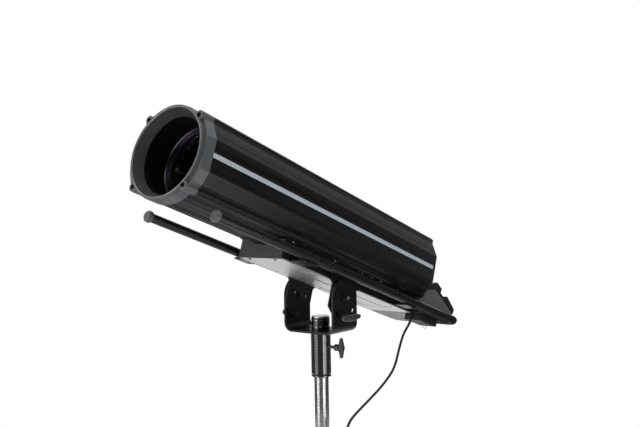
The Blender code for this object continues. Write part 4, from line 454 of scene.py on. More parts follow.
class Bench:
    """Models meshes with Blender's own operators, as by hand."""

    @staticmethod
    def clear() -> None:
        """Leaves nothing selected, as every operator acts on all that is."""
        bpy.ops.object.select_all(action="DESELECT")

    @staticmethod
    def hold(piece: Piece) -> None:
        """Selects one piece alone and makes it the active one."""
        Bench.clear()
        piece.select_set(True)
        bpy.context.view_layer.objects.active = piece

    @staticmethod
    def added(name: str) -> Piece:
        """Names the primitive just added and puts its place into its mesh."""
        piece = bpy.context.object
        piece.name = piece.data.name = name
        bpy.ops.object.transform_apply(location=True, rotation=True, scale=True)
        return piece

    @classmethod
    def turned(cls, name: str, profile: Profile,
               steps: int = 48) -> Piece:
        """Turns a profile about Z into a closed solid, as on a lathe.

        Args:
            name: The piece's name.
            profile: Radius and height of each corner, in millimetres. It starts and ends on
                the axis, or else is closed into a ring.
            steps: Flats round the solid.

        Returns:
            The solid.
        """
        if profile[0][0]:
            profile = profile + profile[:1]
        cls.clear()
        bpy.ops.mesh.primitive_plane_add(size=1 * MM)
        piece = cls.added(name)
        bpy.ops.object.mode_set(mode="EDIT")
        bpy.ops.mesh.select_mode(type="VERT")
        bpy.ops.mesh.select_all(action="SELECT")
        bpy.ops.mesh.merge(type="CENTER")
        radius, height = profile[0]
        bpy.ops.transform.translate(value=(radius * MM, 0, height * MM))
        for near, far in zip(profile, profile[1:]):
            step = ((far[0] - near[0]) * MM, 0, (far[1] - near[1]) * MM)
            bpy.ops.mesh.extrude_region_move(TRANSFORM_OT_translate={"value": step})
        bpy.ops.mesh.select_all(action="SELECT")
        bpy.ops.mesh.spin(steps=steps, angle=2 * math.pi, center=(0, 0, 0), axis=(0, 0, 1))
        bpy.ops.mesh.select_all(action="SELECT")
        bpy.ops.mesh.remove_doubles(threshold=0.002 * MM)
        bpy.ops.mesh.normals_make_consistent(inside=False)
        bpy.ops.object.mode_set(mode="OBJECT")
        return piece

    @classmethod
    def slab(cls, name: str, low: Iterable[float], high: Iterable[float],
             round_by: float = 0.3, segments: int = 2) -> Piece:
        """A block with rounded edges, between two corners in millimetres."""
        low, high = Vector(low) * MM, Vector(high) * MM
        cls.clear()
        bpy.ops.mesh.primitive_cube_add(size=1, location=(low + high) / 2, scale=high - low)
        piece = cls.added(name)
        bpy.ops.object.mode_set(mode="EDIT")
        bpy.ops.mesh.select_all(action="SELECT")
        bpy.ops.mesh.bevel(offset=round_by * MM, segments=segments, affect="EDGES")
        bpy.ops.object.mode_set(mode="OBJECT")
        return piece

    @classmethod
    def pick(cls, piece: Piece, wanted: Callable[[bpy.types.MeshPolygon], bool]) -> None:
        """Opens a piece in edit mode with only the wanted faces selected."""
        cls.hold(piece)
        chosen = [wanted(face) for face in piece.data.polygons]
        bpy.ops.object.mode_set(mode="EDIT")
        bpy.ops.mesh.select_mode(type="FACE")
        bpy.ops.mesh.select_all(action="DESELECT")
        bpy.ops.object.mode_set(mode="OBJECT")
        piece.data.polygons.foreach_set("select", chosen)
        bpy.ops.object.mode_set(mode="EDIT")

    @classmethod
    def finish_edit(cls) -> None:
        """Goes back to object mode."""
        bpy.ops.object.mode_set(mode="OBJECT")

    @classmethod
    def apply(cls, piece: Piece, kind: str, **settings: object) -> None:
        """Adds a modifier, sets it and applies it."""
        cls.hold(piece)
        modifier = piece.modifiers.new(kind.lower(), kind)
        for name, value in settings.items():
            setattr(modifier, name, value)
        bpy.ops.object.modifier_apply(modifier=modifier.name)

    @classmethod
    def cut(cls, piece: Piece, tool: Piece) -> None:
        """Takes a tool's shape out of a piece, and removes the tool."""
        cls.apply(piece, "BOOLEAN", object=tool, operation="DIFFERENCE", solver="EXACT")
        bpy.data.objects.remove(tool)

    @classmethod
    def joined(cls, name: str, parts: list[Piece]) -> Piece:
        """Joins parts that touch into one piece."""
        cls.hold(parts[0])
        for part in parts[1:]:
            part.select_set(True)
        if len(parts) > 1:
            bpy.ops.object.join()
        parts[0].name = parts[0].data.name = name
        return parts[0]

    @staticmethod
    def copied(piece: Piece, name: str, place: Matrix) -> Piece:
        """A copy with its own mesh, moved to its place."""
        other = piece.copy()
        other.data = piece.data.copy()
        other.name = other.data.name = name
        bpy.context.scene.collection.objects.link(other)
        other.data.transform(place)
        return other

    @classmethod
    def smoothed(cls, piece: Piece, degrees: float = 35) -> Piece:
        """Shades a piece smooth but for its sharp edges."""
        cls.hold(piece)
        bpy.ops.object.shade_smooth_by_angle(angle=math.radians(degrees))
        return piece


class Drive(Enum):
    """What a fastener's head is turned with."""

    HEX = "hexagon socket"
    CROSS = "cross recess"


@dataclass(frozen=True)
class Fastener:
    """A machine screw's head, drawn at the origin with its top towards Z."""

    radius: float
    height: float
    drive: Drive

    def model(self) -> Piece:
        """Turns the head and cuts its recess."""
        r, h = self.radius, self.height
        if self.drive is Drive.HEX:
            profile = [(0, h * 0.94), (r * 0.5, h * 0.94), (r * 0.86, h * 0.97), (r * 0.95, h * 0.9),
                       (r, h * 0.75), (r, 0), (0, 0)]
        else:
            profile = [(0, h), (r * 0.4, h * 0.96), (r * 0.75, h * 0.78), (r * 0.94, h * 0.45),
                       (r, h * 0.15), (r, 0), (0, 0)]
        head = Bench.turned("screw", profile, 20)
        Bench.clear()
        if self.drive is Drive.HEX:
            bpy.ops.mesh.primitive_cylinder_add(vertices=6, radius=r * 0.52 * MM, depth=h * MM,
                                                location=(0, 0, h * 0.95 * MM))
            Bench.cut(head, Bench.added("key"))
        else:
            for turn in (0, math.pi / 2):
                bpy.ops.mesh.primitive_cube_add(size=MM, location=(0, 0, h * MM),
                                                rotation=(0, 0, turn), scale=(r * 1.1, r * 0.24, h))
                Bench.cut(head, Bench.added("blade"))
                Bench.clear()
        return Bench.smoothed(head)


class Assembly:
    """A sub-assembly of the lamp: it paints its CAD nodes and builds its small pieces."""

    body = "head"
    place = HEAD

    def paint(self, finish: Finish | CoatedGlass, *names: str) -> None:
        """Gives CAD nodes a finish."""
        for name in names:
            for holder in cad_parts[name].material_slots:
                holder.material = finish.material()
            LOG.info("%s painted %s", name, finish.name)

    def keep(self, piece: Piece, finish: Finish | CoatedGlass, slot: str,
             replaces: tuple[str, ...] = (), body: str = "",
             degrees: float = 35) -> Piece:
        """Puts a level piece in its place, dresses it and lets it ride.

        Args:
            piece: The piece, drawn in the sub-assembly's own coordinates.
            finish: What it is finished in.
            slot: The record's material slot; not used.
            replaces: CAD nodes that it stands for.
            body: CAD body that it rides on, if not the sub-assembly's own.
            degrees: Edges sharper than this stay sharp.

        Returns:
            The piece.
        """
        piece.data.transform(self.place)
        Bench.smoothed(piece, degrees)
        piece.data.materials.clear()
        piece.data.materials.append(finish.material())
        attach(piece, body or self.body)
        if replaces:
            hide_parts(*replaces)
        LOG.info("%s: %d faces", piece.name, len(piece.data.polygons))
        return piece

    def lathe(self, name: str, profile: Profile, steps: int, where: Matrix,
              finish: Finish | CoatedGlass, slot: str, **kept: object) -> Piece:
        """Turns a piece, moves it to its place in the sub-assembly and keeps it.

        Args:
            name: The piece's name.
            profile: Radius and height of each corner, in millimetres.
            steps: Flats round the piece.
            where: Its place in the sub-assembly.
            finish: What it is finished in.
            slot: The record's material slot.
            kept: What keep is told besides.

        Returns:
            The piece.
        """
        piece = Bench.turned(name, profile, steps)
        piece.data.transform(where)
        return self.keep(piece, finish, slot, **kept)

    def screws(self, name: str, kind: Fastener, finish: Finish, slot: str,
               places: list[tuple[Vector, Way]]) -> None:
        """Models one fastener and puts a copy at each place.

        Args:
            name: What the copies are called, before their number.
            kind: The fastener.
            finish: Its finish.
            slot: The record's material slot.
            places: Foot of each head and the way that it faces.
        """
        model = kind.model()
        for number, (at, way) in enumerate(places, 1):
            self.keep(Bench.copied(model, f"{name}_{number}", facing(at, way)), finish, slot)
        bpy.data.objects.remove(model)


# Sub-assemblies


@dataclass
class Stand(Assembly):
    """Top tube of the stand, its sleeve, the yoke's hub and the sleeve's lock knob."""

    body = "stand"
    place = STILL
    hub_radius: float = 22.5
    hub_rings: tuple[float, ...] = (386.4, 401.6)
    collar_radius: float = 24.25
    collar_at: float = 265.0

    def build(self) -> None:
        """Paints the stand and adds the hub's rings and the sleeve's rolled rim."""
        self.paint(Palette.CHROME, "stand_tube")
        self.paint(Palette.SLEEVE, "sleeve", "hub_nut")
        self.paint(Palette.TURNED_STEEL, "hub_disc")
        self.paint(Palette.PLASTIC, "tube_plug")
        self.paint(Palette.KNOB, "sleeve_knob")
        r = self.hub_radius
        for number, height in enumerate(self.hub_rings, 1):
            self.lathe(f"hub_ring_{number}", [
                (r - 1.2, height - 0.5), (r - 0.15, height - 0.5), (r + 0.1, height - 0.25),
                (r + 0.1, height + 0.25), (r - 0.15, height + 0.5), (r - 1.2, height + 0.5)],
                64, STILL, Palette.STEEL, "steel")
        r, z = self.collar_radius, self.collar_at
        self.lathe("sleeve_rim", [
            (r - 5.5, z - 0.6), (r - 0.6, z - 0.6), (r, z), (r + 0.25, z + 1.2),
            (r + 0.25, z + 3.2), (r - 0.3, z + 4), (r - 5.5, z + 4)],
            64, STILL, Palette.SLEEVE, "black_paint")


@dataclass
class Yoke(Assembly):
    """The yoke with its two pivot bolts and the two tilt locks."""

    body = "yoke"
    place = STILL
    washer_radius: float = 11.5
    washer_bore: float = 6.7
    washer_at: float = 77.9
    bolt_face: float = 85.8
    key_radius: float = 3.6
    lock_at: tuple[float, float] = (-14.82 * MM, 414.75 * MM)
    lock_washer: tuple[float, float] = (75.7, 77.2)
    lock_bore: float = 7.1
    lock_radius: float = 13.6

    def build(self) -> None:
        """Paints the yoke and adds the bolts' washers and rings, and the knobs' washers."""
        self.paint(Palette.POWDER, "yoke")
        self.paint(Palette.BROWNED, "pivot_bolt_left", "pivot_bolt_right")
        self.paint(Palette.KNOB, "tilt_knob_right", "tilt_knob_left")
        for word, side in SIDES:
            outwards = Matrix.Rotation(side * math.pi / 2, 4, "Y")
            pivot = Matrix.Translation((0, 0, PIVOT_HEIGHT)) @ outwards
            r, bore, z = self.washer_radius, self.washer_bore, self.washer_at
            self.lathe("bolt_washer_" + word, [
                (bore, z), (r - 0.6, z), (r, z + 0.3), (r - 0.2, z + 1.0), (bore + 2.5, z + 1.6),
                (bore + 1.9, z + 1.3), (bore + 1.7, z + 2.5), (bore, z + 2.5)],
                48, pivot, Palette.BLACK_SCREW, "black_paint")
            r, z = self.key_radius, self.bolt_face
            self.lathe("bolt_key_" + word, [
                (r - 1.6, z - 0.1), (r, z - 0.1), (r, z + 0.3), (r - 0.3, z + 0.6),
                (r - 1.3, z + 0.6), (r - 1.6, z + 0.3)], 36, pivot, Palette.STEEL, "steel")
            r, bore, (near, far) = self.lock_radius, self.lock_bore, self.lock_washer
            self.lathe("lock_washer_" + word, [
                (bore, near), (r - 0.3, near), (r, near + 0.3), (r, far - 0.3), (r - 0.3, far),
                (bore, far)], 48, Matrix.Translation((0, *self.lock_at)) @ outwards,
                Palette.BLACK_SCREW, "black_paint", body="tilt_knob_" + word)


@dataclass
class Muzzle(Assembly):
    """Front of the head: bezel, ribbed baffle, front lens and its ring."""

    mouth_radius: float = 95.5
    mouth_at: float = -563.6
    cone_length: float = 20.0
    cone_outer: float = 96.8
    flute_count: int = 180
    flute_edge: float = 0.1
    flute_depth: float = 1.6
    barrel_radius: float = 84.0
    barrel_wall: float = 2.0
    barrel_end: float = -473.6
    barrel_steps: range = range(-540, -490, 8)
    lip_ring_radius: float = 96.1
    lip_ring_at: float = -564.3
    lip_ring_wire: float = 0.8
    retainer_front: float = -487.0
    retainer_width: float = 3.4
    lens_apex: float = -483.0
    lens_angle: int = 40
    lens_rim: tuple[float, float] = (79.7, -469.0)
    lens_edge: float = 84.0
    lens_back: float = -464.0
    ear_out: float = 74.0
    ear_face: float = -563.8
    ear_heights: tuple[float, float] = (233.0, 88.0)

    def build_baffle(self) -> None:
        """Fluted cone in the mouth, and the black barrel behind it."""
        mouth, front = self.mouth_radius, self.mouth_at
        inner, back = self.barrel_radius, self.mouth_at + self.cone_length
        outer = inner + self.barrel_wall
        cone = Bench.turned("ribbed_baffle", [
            (mouth, front), (inner, back), (inner, back + 1.5), (outer, back + 1.5),
            (outer, back), (self.cone_outer, front + 1.6), (self.cone_outer, front)],
            2 * self.flute_count)

        def fluted(face: bpy.types.MeshPolygon) -> bool:
            """Every other face of the cone's inside."""
            across = face.center.xy
            turn = math.atan2(across.y, across.x) % math.tau
            inside = face.normal.xy.dot(across) < 0 and 0.1 < abs(face.normal.z) < 0.9
            return inside and int(turn / math.tau * 2 * self.flute_count) % 2 == 0

        Bench.pick(cone, fluted)
        bpy.ops.mesh.inset(thickness=self.flute_edge * MM, depth=-self.flute_depth * MM,
                           use_individual=True)
        Bench.finish_edit()
        cone.data.transform(AXIS)
        self.keep(cone, Palette.BAFFLE, "baffle_grey", ("baffle",), degrees=20)

        line = [(inner, back + 1.5)]
        for u in self.barrel_steps:
            line += [(inner, u), (inner - 0.5, u + 0.6), (inner - 0.5, u + 1.4), (inner, u + 2)]
        # The barrel's near-black finish is flocking and painted shade for the dark depth of the
        # mouth.
        self.lathe("baffle_barrel", line + [
            (inner, self.barrel_end), (outer, self.barrel_end), (outer, back + 1.5)],
            96, AXIS, Palette.FLOCK, "housing_black")

    def build_rings(self) -> None:
        """Bright ring in the mouth's lip, and the ring that holds the lens."""
        wire = round_wire(self.lip_ring_radius, self.lip_ring_at, self.lip_ring_wire, 30)
        self.lathe("mouth_ring", wire, 144, AXIS, Palette.RIM, "steel")
        edge, front = self.lens_edge - 0.1, self.retainer_front
        bore, back = edge - self.retainer_width, self.lens_rim[1] - 0.2
        self.lathe("lens_retainer", [
            (edge, front), (bore + 0.7, front), (bore, front + 0.9), (bore, back), (edge, back)],
            120, AXIS, Palette.RIM, "steel", degrees=25)

    def build_lens(self) -> None:
        """The domed front lens with its flat rim."""
        rim_r, rim_u = self.lens_rim
        edge, back, widest = self.lens_edge, self.lens_back, math.radians(self.lens_angle)
        dome = []
        for angle in range(0, self.lens_angle + 1, 4):
            turn = math.radians(angle)
            fall = (1 - math.cos(turn)) / (1 - math.cos(widest))
            dome.append((rim_r * math.sin(turn) / math.sin(widest),
                         self.lens_apex + (rim_u - self.lens_apex) * fall))
        self.lathe("front_lens_element", dome + [
            (edge - 0.3, rim_u), (edge, rim_u + 0.3), (edge, back - 0.3), (edge - 0.3, back),
            (0, back)], 96, AXIS, Palette.GLASS, "lens_glass", replaces=("front_lens",))

    def build(self) -> None:
        """Paints the front and builds the baffle, its rings, the lens and the ear screws."""
        self.paint(Palette.BEZEL, "front_bezel")
        self.paint(Palette.INSIDE, "lens_ring")
        self.build_baffle()
        self.build_rings()
        self.build_lens()
        screw = Fastener(4.4, 2.6, Drive.HEX)
        ears = both_sides(self.ear_out, [(self.ear_face, up) for up in self.ear_heights],
                          (0, -1, 0))
        # The ear screws take the near-black finish as painted shade, so that they read as dark
        # holes.
        self.screws("ear_screw", screw, Palette.FLOCK, "black_paint", ears)


@dataclass
class Body(Assembly):
    """Extruded housing with its two bright strips, the rear cap and the fan guard."""

    strip_out: float = 102.9
    strip_thick: float = 0.8
    strip_half: float = 5.0
    front: float = -530.7
    rear: float = 319.7
    cap_face: float = 330.3
    guard_rings: tuple[float, ...] = (14.0, 22.0, 30.0, 38.0, 46.0)
    guard_wire: float = 1.1
    guard_edge: float = 50.6
    guard_reach: float = 49.0
    screw_out: float = 74.0
    screw_heights: tuple[float, float] = (233.0, 88.0)

    def build(self) -> None:
        """Paints the body and adds its strips, cap screws and fan guard."""
        self.paint(Palette.HOUSING, "housing")
        self.paint(Palette.PLASTIC, "rear_cap")
        for word, side in SIDES:
            near, far = sorted((side * self.strip_out, side * (self.strip_out + self.strip_thick)))
            middle, half = AXIS_UP / MM, self.strip_half
            strip = Bench.slab("side_strip_" + word, (near, self.front, middle - half),
                               (far, self.rear, middle + half), 0.15)
            self.keep(strip, Palette.TAPE, "plate_silver")
        corners = both_sides(self.screw_out, [(self.cap_face, up) for up in self.screw_heights],
                             REARWARDS)
        self.screws("cap_screw", Fastener(4.4, 2.6, Drive.HEX), Palette.BLACK_SCREW,
                    "black_paint", corners)
        self.build_guard()

    def build_guard(self) -> None:
        """Wire guard of concentric rings and four stays over a dark grille plate."""
        face, edge = self.cap_face, self.guard_edge
        self.lathe("guard_plate", [
            (0, face + 0.05), (0, face + 0.5), (edge - 3.6, face + 0.5), (edge - 2.6, face + 1.6),
            (edge - 0.6, face + 1.6), (edge, face + 0.9), (edge, face + 0.05), (0, face + 0.05)],
            72, AXIS, Palette.INSIDE, "black_plastic")
        wire, z, reach = self.guard_wire, face + 1.9, self.guard_reach
        parts = [Bench.turned("guard_ring", round_wire(radius, z, wire, 60), 60)
                 for radius in self.guard_rings]
        stay = Bench.slab("guard_stay", (-reach, -0.9, z - 0.9), (reach, 0.9, z + 0.3), 0.25)
        parts.append(Bench.copied(stay, "guard_stay_across", Matrix.Rotation(math.pi / 2, 4, "Z")))
        parts.append(stay)
        guard = Bench.joined("fan_guard", parts)
        guard.data.transform(AXIS @ Matrix.Rotation(math.pi / 4, 4, "Z"))
        self.keep(guard, Palette.STEEL, "steel")


@dataclass
class Optics(Assembly):
    """What is inside the housing: guide rods, zoom carriage, gate, heat sink and fan."""

    def build(self) -> None:
        """Paints the inside."""
        self.paint(Palette.STEEL, "guide_rod_left", "guide_rod_right")
        self.paint(Palette.INSIDE, "zoom_carriage", "gate_plate")
        self.paint(Palette.GLASS, "zoom_lens")
        self.paint(Palette.SILVER, "heat_sink")
        self.paint(Palette.PLASTIC, "fan_frame")
        self.paint(Palette.KNOB, "fan_rotor")


@dataclass
class Chassis(Assembly):
    """Channel, base plate, front bracket and the plates that the head tilts on."""

    flange_under: float = 75.2
    flange_screws: tuple[float, ...] = (-213, -56, 58, 101, 141, 224)
    flange_out: float = 69.0
    plate_under: float = 31.0
    foot_at: tuple[float, float] = (38.0, -226.0)
    bracket_at: tuple[float, float, float] = (64.3, 21.0, 0.7)
    plate_out: float = 54.0
    plate_rows: tuple[float, ...] = (-110, 60, 228)

    def build(self) -> None:
        """Paints the chassis and adds its screws."""
        self.paint(Palette.SILVER, "base_plate")
        self.paint(Palette.POWDER, "channel", "head_bracket_left", "head_bracket_right")
        self.paint(Palette.BRACKET, "front_bracket")
        small = Fastener(2.7, 1.8, Drive.CROSS)
        flange = both_sides(self.flange_out, [(u, self.flange_under) for u in self.flange_screws],
                            DOWN)
        self.screws("flange_screw", small, Palette.STEEL, "steel", flange)
        out, along = self.foot_at
        foot = both_sides(out, [(along, self.plate_under)], DOWN)
        self.screws("foot_screw", Fastener(3.4, 2.0, Drive.CROSS), Palette.BLACK_SCREW,
                    "black_paint", foot)
        out, along, up = self.bracket_at
        inner = [(spot(side * out, end * along, up), (-side, 0, 0)) for side in (-1, 1)
                 for end in (-1, 1)]
        self.screws("bracket_screw", Fastener(3.2, 2.0, Drive.HEX), Palette.STEEL, "steel", inner)
        rows = both_sides(self.plate_out, [(u, self.plate_under) for u in self.plate_rows], DOWN)
        self.screws("plate_screw", Fastener(2.7, 1.6, Drive.CROSS), Palette.STEEL, "steel", rows)


@dataclass
class Rails(Assembly):
    """Side rails, sliding front rods, their clamps and the rear handle."""

    out: float = 100.0
    up: float = 49.5
    rod_joint: float = -165.2
    handle_joint: float = 278.2
    clamps_at: tuple[float, float] = (-182.0, 244.0)
    tab_face: float = 68.5
    tab_half: float = 15.0
    tab_up: float = 55.0

    def build(self) -> None:
        """Paints the tubes and adds the joints' rubber rings and the clamp screws."""
        self.paint(Palette.POWDER, "rail_left", "rail_right", "front_rod_left", "front_rod_right",
                   "front_clamp_left", "front_clamp_right", "rear_clamp_left",
                   "rear_clamp_right", "rear_handle")
        self.paint(Palette.BEZEL, "rod_cap_left", "rod_cap_right")
        for word, side in SIDES:
            for name, at in (("rod_ring_", self.rod_joint), ("handle_ring_", self.handle_joint)):
                self.lathe(name + word, [
                    (10.4, at - 1.6), (11.0, at - 1.2), (11.3, at - 0.5), (11.3, at + 0.5),
                    (11.0, at + 1.2), (10.4, at + 1.6)], 40,
                    Matrix.Translation(spot(side * self.out, 0, self.up)) @ BACKWARDS,
                    Palette.RUBBER, "black_plastic")
        places = both_sides(self.tab_face, [
            (at + end * self.tab_half, self.tab_up) for at in self.clamps_at for end in (-1, 1)])
        self.screws("clamp_screw", Fastener(3.4, 2.4, Drive.HEX), Palette.BLACK_SCREW,
                    "black_paint", places)


@dataclass
class ControlBox(Assembly):
    """Control box at the back with its sloping panel, display, buttons and dials."""

    panel_from: tuple[float, float] = (402.5, 117.5)
    panel_to: tuple[float, float] = (505.0, 73.5)
    dial_radius: float = 9.0
    dial_height: float = 11.0
    flutes: int = 18
    tick_count: int = 11
    tick_span: float = 270.0
    dial_seat: float = 9.3
    scale_seat: float = 9.02
    button_proud: float = 2.6
    display_proud: float = 1.5
    side_face: float = 72.0
    side_screws: tuple[tuple[float, float], ...] = ((345, 52), (345, 88), (468, 52))

    def slope(self, across: float, along: float, proud: float) -> Vector:
        """A point over the panel, by its place down the slope, in millimetres."""
        (u0, w0), (u1, w1) = self.panel_from, self.panel_to
        length = math.hypot(u1 - u0, w1 - w0)
        du, dw = (u1 - u0) / length, (w1 - w0) / length
        return spot(across, u0 + du * along - dw * proud, w0 + dw * along + du * proud)

    def on_panel(self, across: float, along: float, proud: float) -> Matrix:
        """The place of a part that stands on the panel, with its Y up the slope."""
        up = (self.slope(0, 0, 1) - self.slope(0, 0, 0)).normalized()
        side = Vector((1, 0, 0))
        turn = Matrix((side, up.cross(side), up)).transposed().to_4x4()
        return Matrix.Translation(self.slope(across, along, proud)) @ turn

    def reach_of(self, node: str) -> tuple[float, float, float, float]:
        """Where a control stands: across, down the slope, its lowest and highest point over it."""
        start, up = self.slope(0, 0, 0), self.slope(0, 0, 1) - self.slope(0, 0, 0)
        down = self.slope(0, 1, 0) - start
        points = [HEAD.inverted() @ v.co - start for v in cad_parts[node].data.vertices]
        cast = [(p.x / MM, p.dot(down) / MM ** 2, p.dot(up) / MM ** 2) for p in points]
        middle = [(min(c[i] for c in cast) + max(c[i] for c in cast)) / 2 for i in (0, 1)]
        heights = [c[2] for c in cast]
        return (*middle, min(heights), max(heights))

    def dial(self, name: str) -> Piece:
        """A fluted knob with a dished top and a pointer line, drawn on Z."""
        r, h = self.dial_radius, self.dial_height
        Bench.clear()
        bpy.ops.mesh.primitive_cylinder_add(vertices=self.flutes * 3, radius=(r - 0.1) * MM,
                                            depth=h * MM, location=(0, 0, h * MM / 2))
        knob = Bench.added(name)
        step = 360 / (self.flutes * 3)

        def fluted(face: bpy.types.MeshPolygon) -> bool:
            """Every third face of the knob's side."""
            turn = math.degrees(math.atan2(face.normal.y, face.normal.x)) % 360
            return abs(face.normal.z) < 0.1 and round((turn - step / 2) / step) % 3 == 0

        Bench.pick(knob, fluted)
        bpy.ops.mesh.inset(thickness=0.15 * MM, depth=-0.55 * MM, use_individual=True)
        Bench.finish_edit()
        Bench.pick(knob, lambda f: f.normal.z > 0.9)
        bpy.ops.mesh.inset(thickness=0.9 * MM)
        bpy.ops.transform.translate(value=(0, 0, 0.5 * MM))
        bpy.ops.mesh.inset(thickness=1.2 * MM)
        bpy.ops.transform.translate(value=(0, 0, -0.5 * MM))
        Bench.finish_edit()
        pointer = Bench.slab("pointer", (-0.5, r * 0.3, h - 0.2), (0.5, r - 0.6, h + 0.45), 0.1)
        pointer.data.materials.append(Palette.MARK.material())
        return Bench.joined(name, [knob, pointer])

    def build_dials(self) -> None:
        """Replaces the two dials by fluted knobs and prints their scales."""
        r = self.dial_radius
        tick = Bench.slab("tick", (-0.25, r + 1.6, 0), (0.25, r + 3.4, 0.12), 0.03, 1)
        for node in ("dimmer_dial", "zoom_dial"):
            across, along, low, _ = self.reach_of(node)
            knob = self.dial(node + "_knob")
            knob.data.transform(self.on_panel(across, along, self.dial_seat))
            top = self.dial_seat + 0.2
            stem = Bench.turned("stem", [(0, low), (2.9, low), (2.9, top), (0, top)], 16)
            stem.data.transform(self.on_panel(across, along, 0))
            self.keep(Bench.joined(node + "_knob", [knob, stem]), Palette.KNOB, "knob_grey",
                      (node,), node)
            ticks = []
            for k in range(self.tick_count):
                turn = math.radians(self.tick_span * (k / (self.tick_count - 1) - 0.5))
                seat = self.on_panel(across, along, self.scale_seat)
                ticks.append(Bench.copied(tick, "tick_copy", seat @ Matrix.Rotation(turn, 4, "Z")))
            self.keep(Bench.joined(node + "_scale", ticks), Palette.MARK, "plate_silver")
        bpy.data.objects.remove(tick)

    def build_collars(self) -> None:
        """Rings round the buttons and a frame round the display."""
        for number in range(1, 5):
            across, along, _, high = self.reach_of(f"button_{number}")
            self.lathe(f"button_collar_{number}", [
                (5.0, 0.02), (6.4, 0.02), (6.4, 0.5), (6.0, 0.9), (5.2, 0.9), (5.0, 0.7)],
                40, self.on_panel(across, along, high - self.button_proud),
                Palette.PLASTIC, "black_plastic")
        across, along, _, high = self.reach_of("display")
        rim = Bench.slab("display_frame", (-29, -11, 0), (29, 11, 1.4), 0.5)
        Bench.cut(rim, Bench.slab("window", (-26.4, -8.4, -2), (26.4, 8.4, 4), 0.4))
        rim.data.transform(self.on_panel(across, along, high - self.display_proud))
        self.keep(rim, Palette.PLASTIC, "black_plastic")

    def build(self) -> None:
        """Paints the box and builds its controls."""
        self.paint(Palette.BOX, "control_box")
        self.paint(Palette.PLASTIC, "control_panel")
        self.paint(Palette.SCREEN, "display")
        self.paint(Palette.KNOB, "button_1", "button_2", "button_3", "button_4")
        self.build_dials()
        self.build_collars()
        self.screws("box_screw", Fastener(2.6, 1.5, Drive.CROSS), Palette.BLACK_SCREW,
                    "black_paint", both_sides(self.side_face, self.side_screws))


@dataclass
class Sockets(Assembly):
    """Tray, socket box, signal socket, power switch and safety eye under the control box."""

    socket_at: tuple[float, float, float] = (64.4, 427.0, 27.8)
    pin_ring: float = 3.3
    pin_depth: float = 9.0
    pin_set_back: float = 4.2
    tray_under: float = 36.6
    tray_screws: tuple[tuple[float, float], ...] = ((-39, 415), (-23, 424))
    ear_off: tuple[float, float] = (6.4, 4.6)

    def build(self) -> None:
        """Paints the sockets and adds the signal pins, the switch's frame and screws."""
        self.paint(Palette.POWDER, "rear_tray")
        self.paint(Palette.PLASTIC, "socket_box", "dmx_socket", "power_switch", "cord_gland")
        self.paint(Palette.STEEL, "safety_eye", "safety_ring")
        across, along, up = self.socket_at
        pins = []
        for angle in (90, 210, 330):
            x = self.pin_ring * math.cos(math.radians(angle))
            z = self.pin_ring * math.sin(math.radians(angle))
            pin = Bench.turned("pin", [(0, 0), (0.8, 0), (0.8, self.pin_depth - 0.8),
                                       (0.4, self.pin_depth), (0, self.pin_depth)], 12)
            foot = spot(across + x, along - self.pin_set_back, up + z)
            pin.data.transform(Matrix.Translation(foot) @ BACKWARDS)
            pins.append(pin)
        self.keep(Bench.joined("signal_pins", pins), Palette.STEEL, "steel")
        rim = Bench.slab("switch_frame", (24.4, 427.0, 21.2), (37.6, 427.9, 34.4), 0.35)
        Bench.cut(rim, Bench.slab("window", (25.6, 425, 22.4), (36.4, 430, 33.2)))
        self.keep(rim, Palette.PLASTIC, "black_plastic")
        tray = [(spot(v, u, self.tray_under), DOWN) for v, u in self.tray_screws]
        self.screws("tray_screw", Fastener(3.2, 1.8, Drive.CROSS), Palette.STEEL, "steel", tray)
        dx, dz = self.ear_off
        ears = [(spot(across - side * dx, along, up + side * dz), REARWARDS) for side in (1, -1)]
        self.screws("socket_screw", Fastener(1.2, 0.8, Drive.CROSS), Palette.STEEL, "steel", ears)


def catmull(points: list[Vector], spacing: float) -> list[Vector]:
    """Points along a Catmull-Rom curve through the given ones.

    Args:
        points: Points that the curve passes through.
        spacing: Wanted distance between neighbours, in metres.

    Returns:
        The curve's points, the two ends among them.
    """
    pts = [points[0] * 2 - points[1]] + points + [points[-1] * 2 - points[-2]]
    line = [points[0]]
    for i in range(1, len(pts) - 2):
        a, b, c, d = pts[i - 1:i + 3]
        count = max(1, round((c - b).length / spacing))
        for k in range(1, count + 1):
            t = k / count
            line.append(0.5 * (2 * b + (c - a) * t + (2 * a - 5 * b + 4 * c - d) * t * t
                               + (3 * b - a - 3 * c + d) * t * t * t))
    return line


def relief_ribs(wide: float, grow: float, top: float, pitch: float, land: float) -> Profile:
    """Profile of six ribs of a strain relief, from the top down.

    Args:
        wide: Radius of the first rib.
        grow: What each next radius adds.
        top: Height of the first rib.
        pitch: From one rib to the next.
        land: Height of a rib's outer face.

    Returns:
        Radius and height of each corner.
    """
    line = []
    for number in range(6):
        r, z = wide + grow * number, top - pitch * number
        line += [(r, z), (r, z - land), (r - 0.9, z - land - 0.2), (r - 0.9, z - land - 1.0)]
    return line


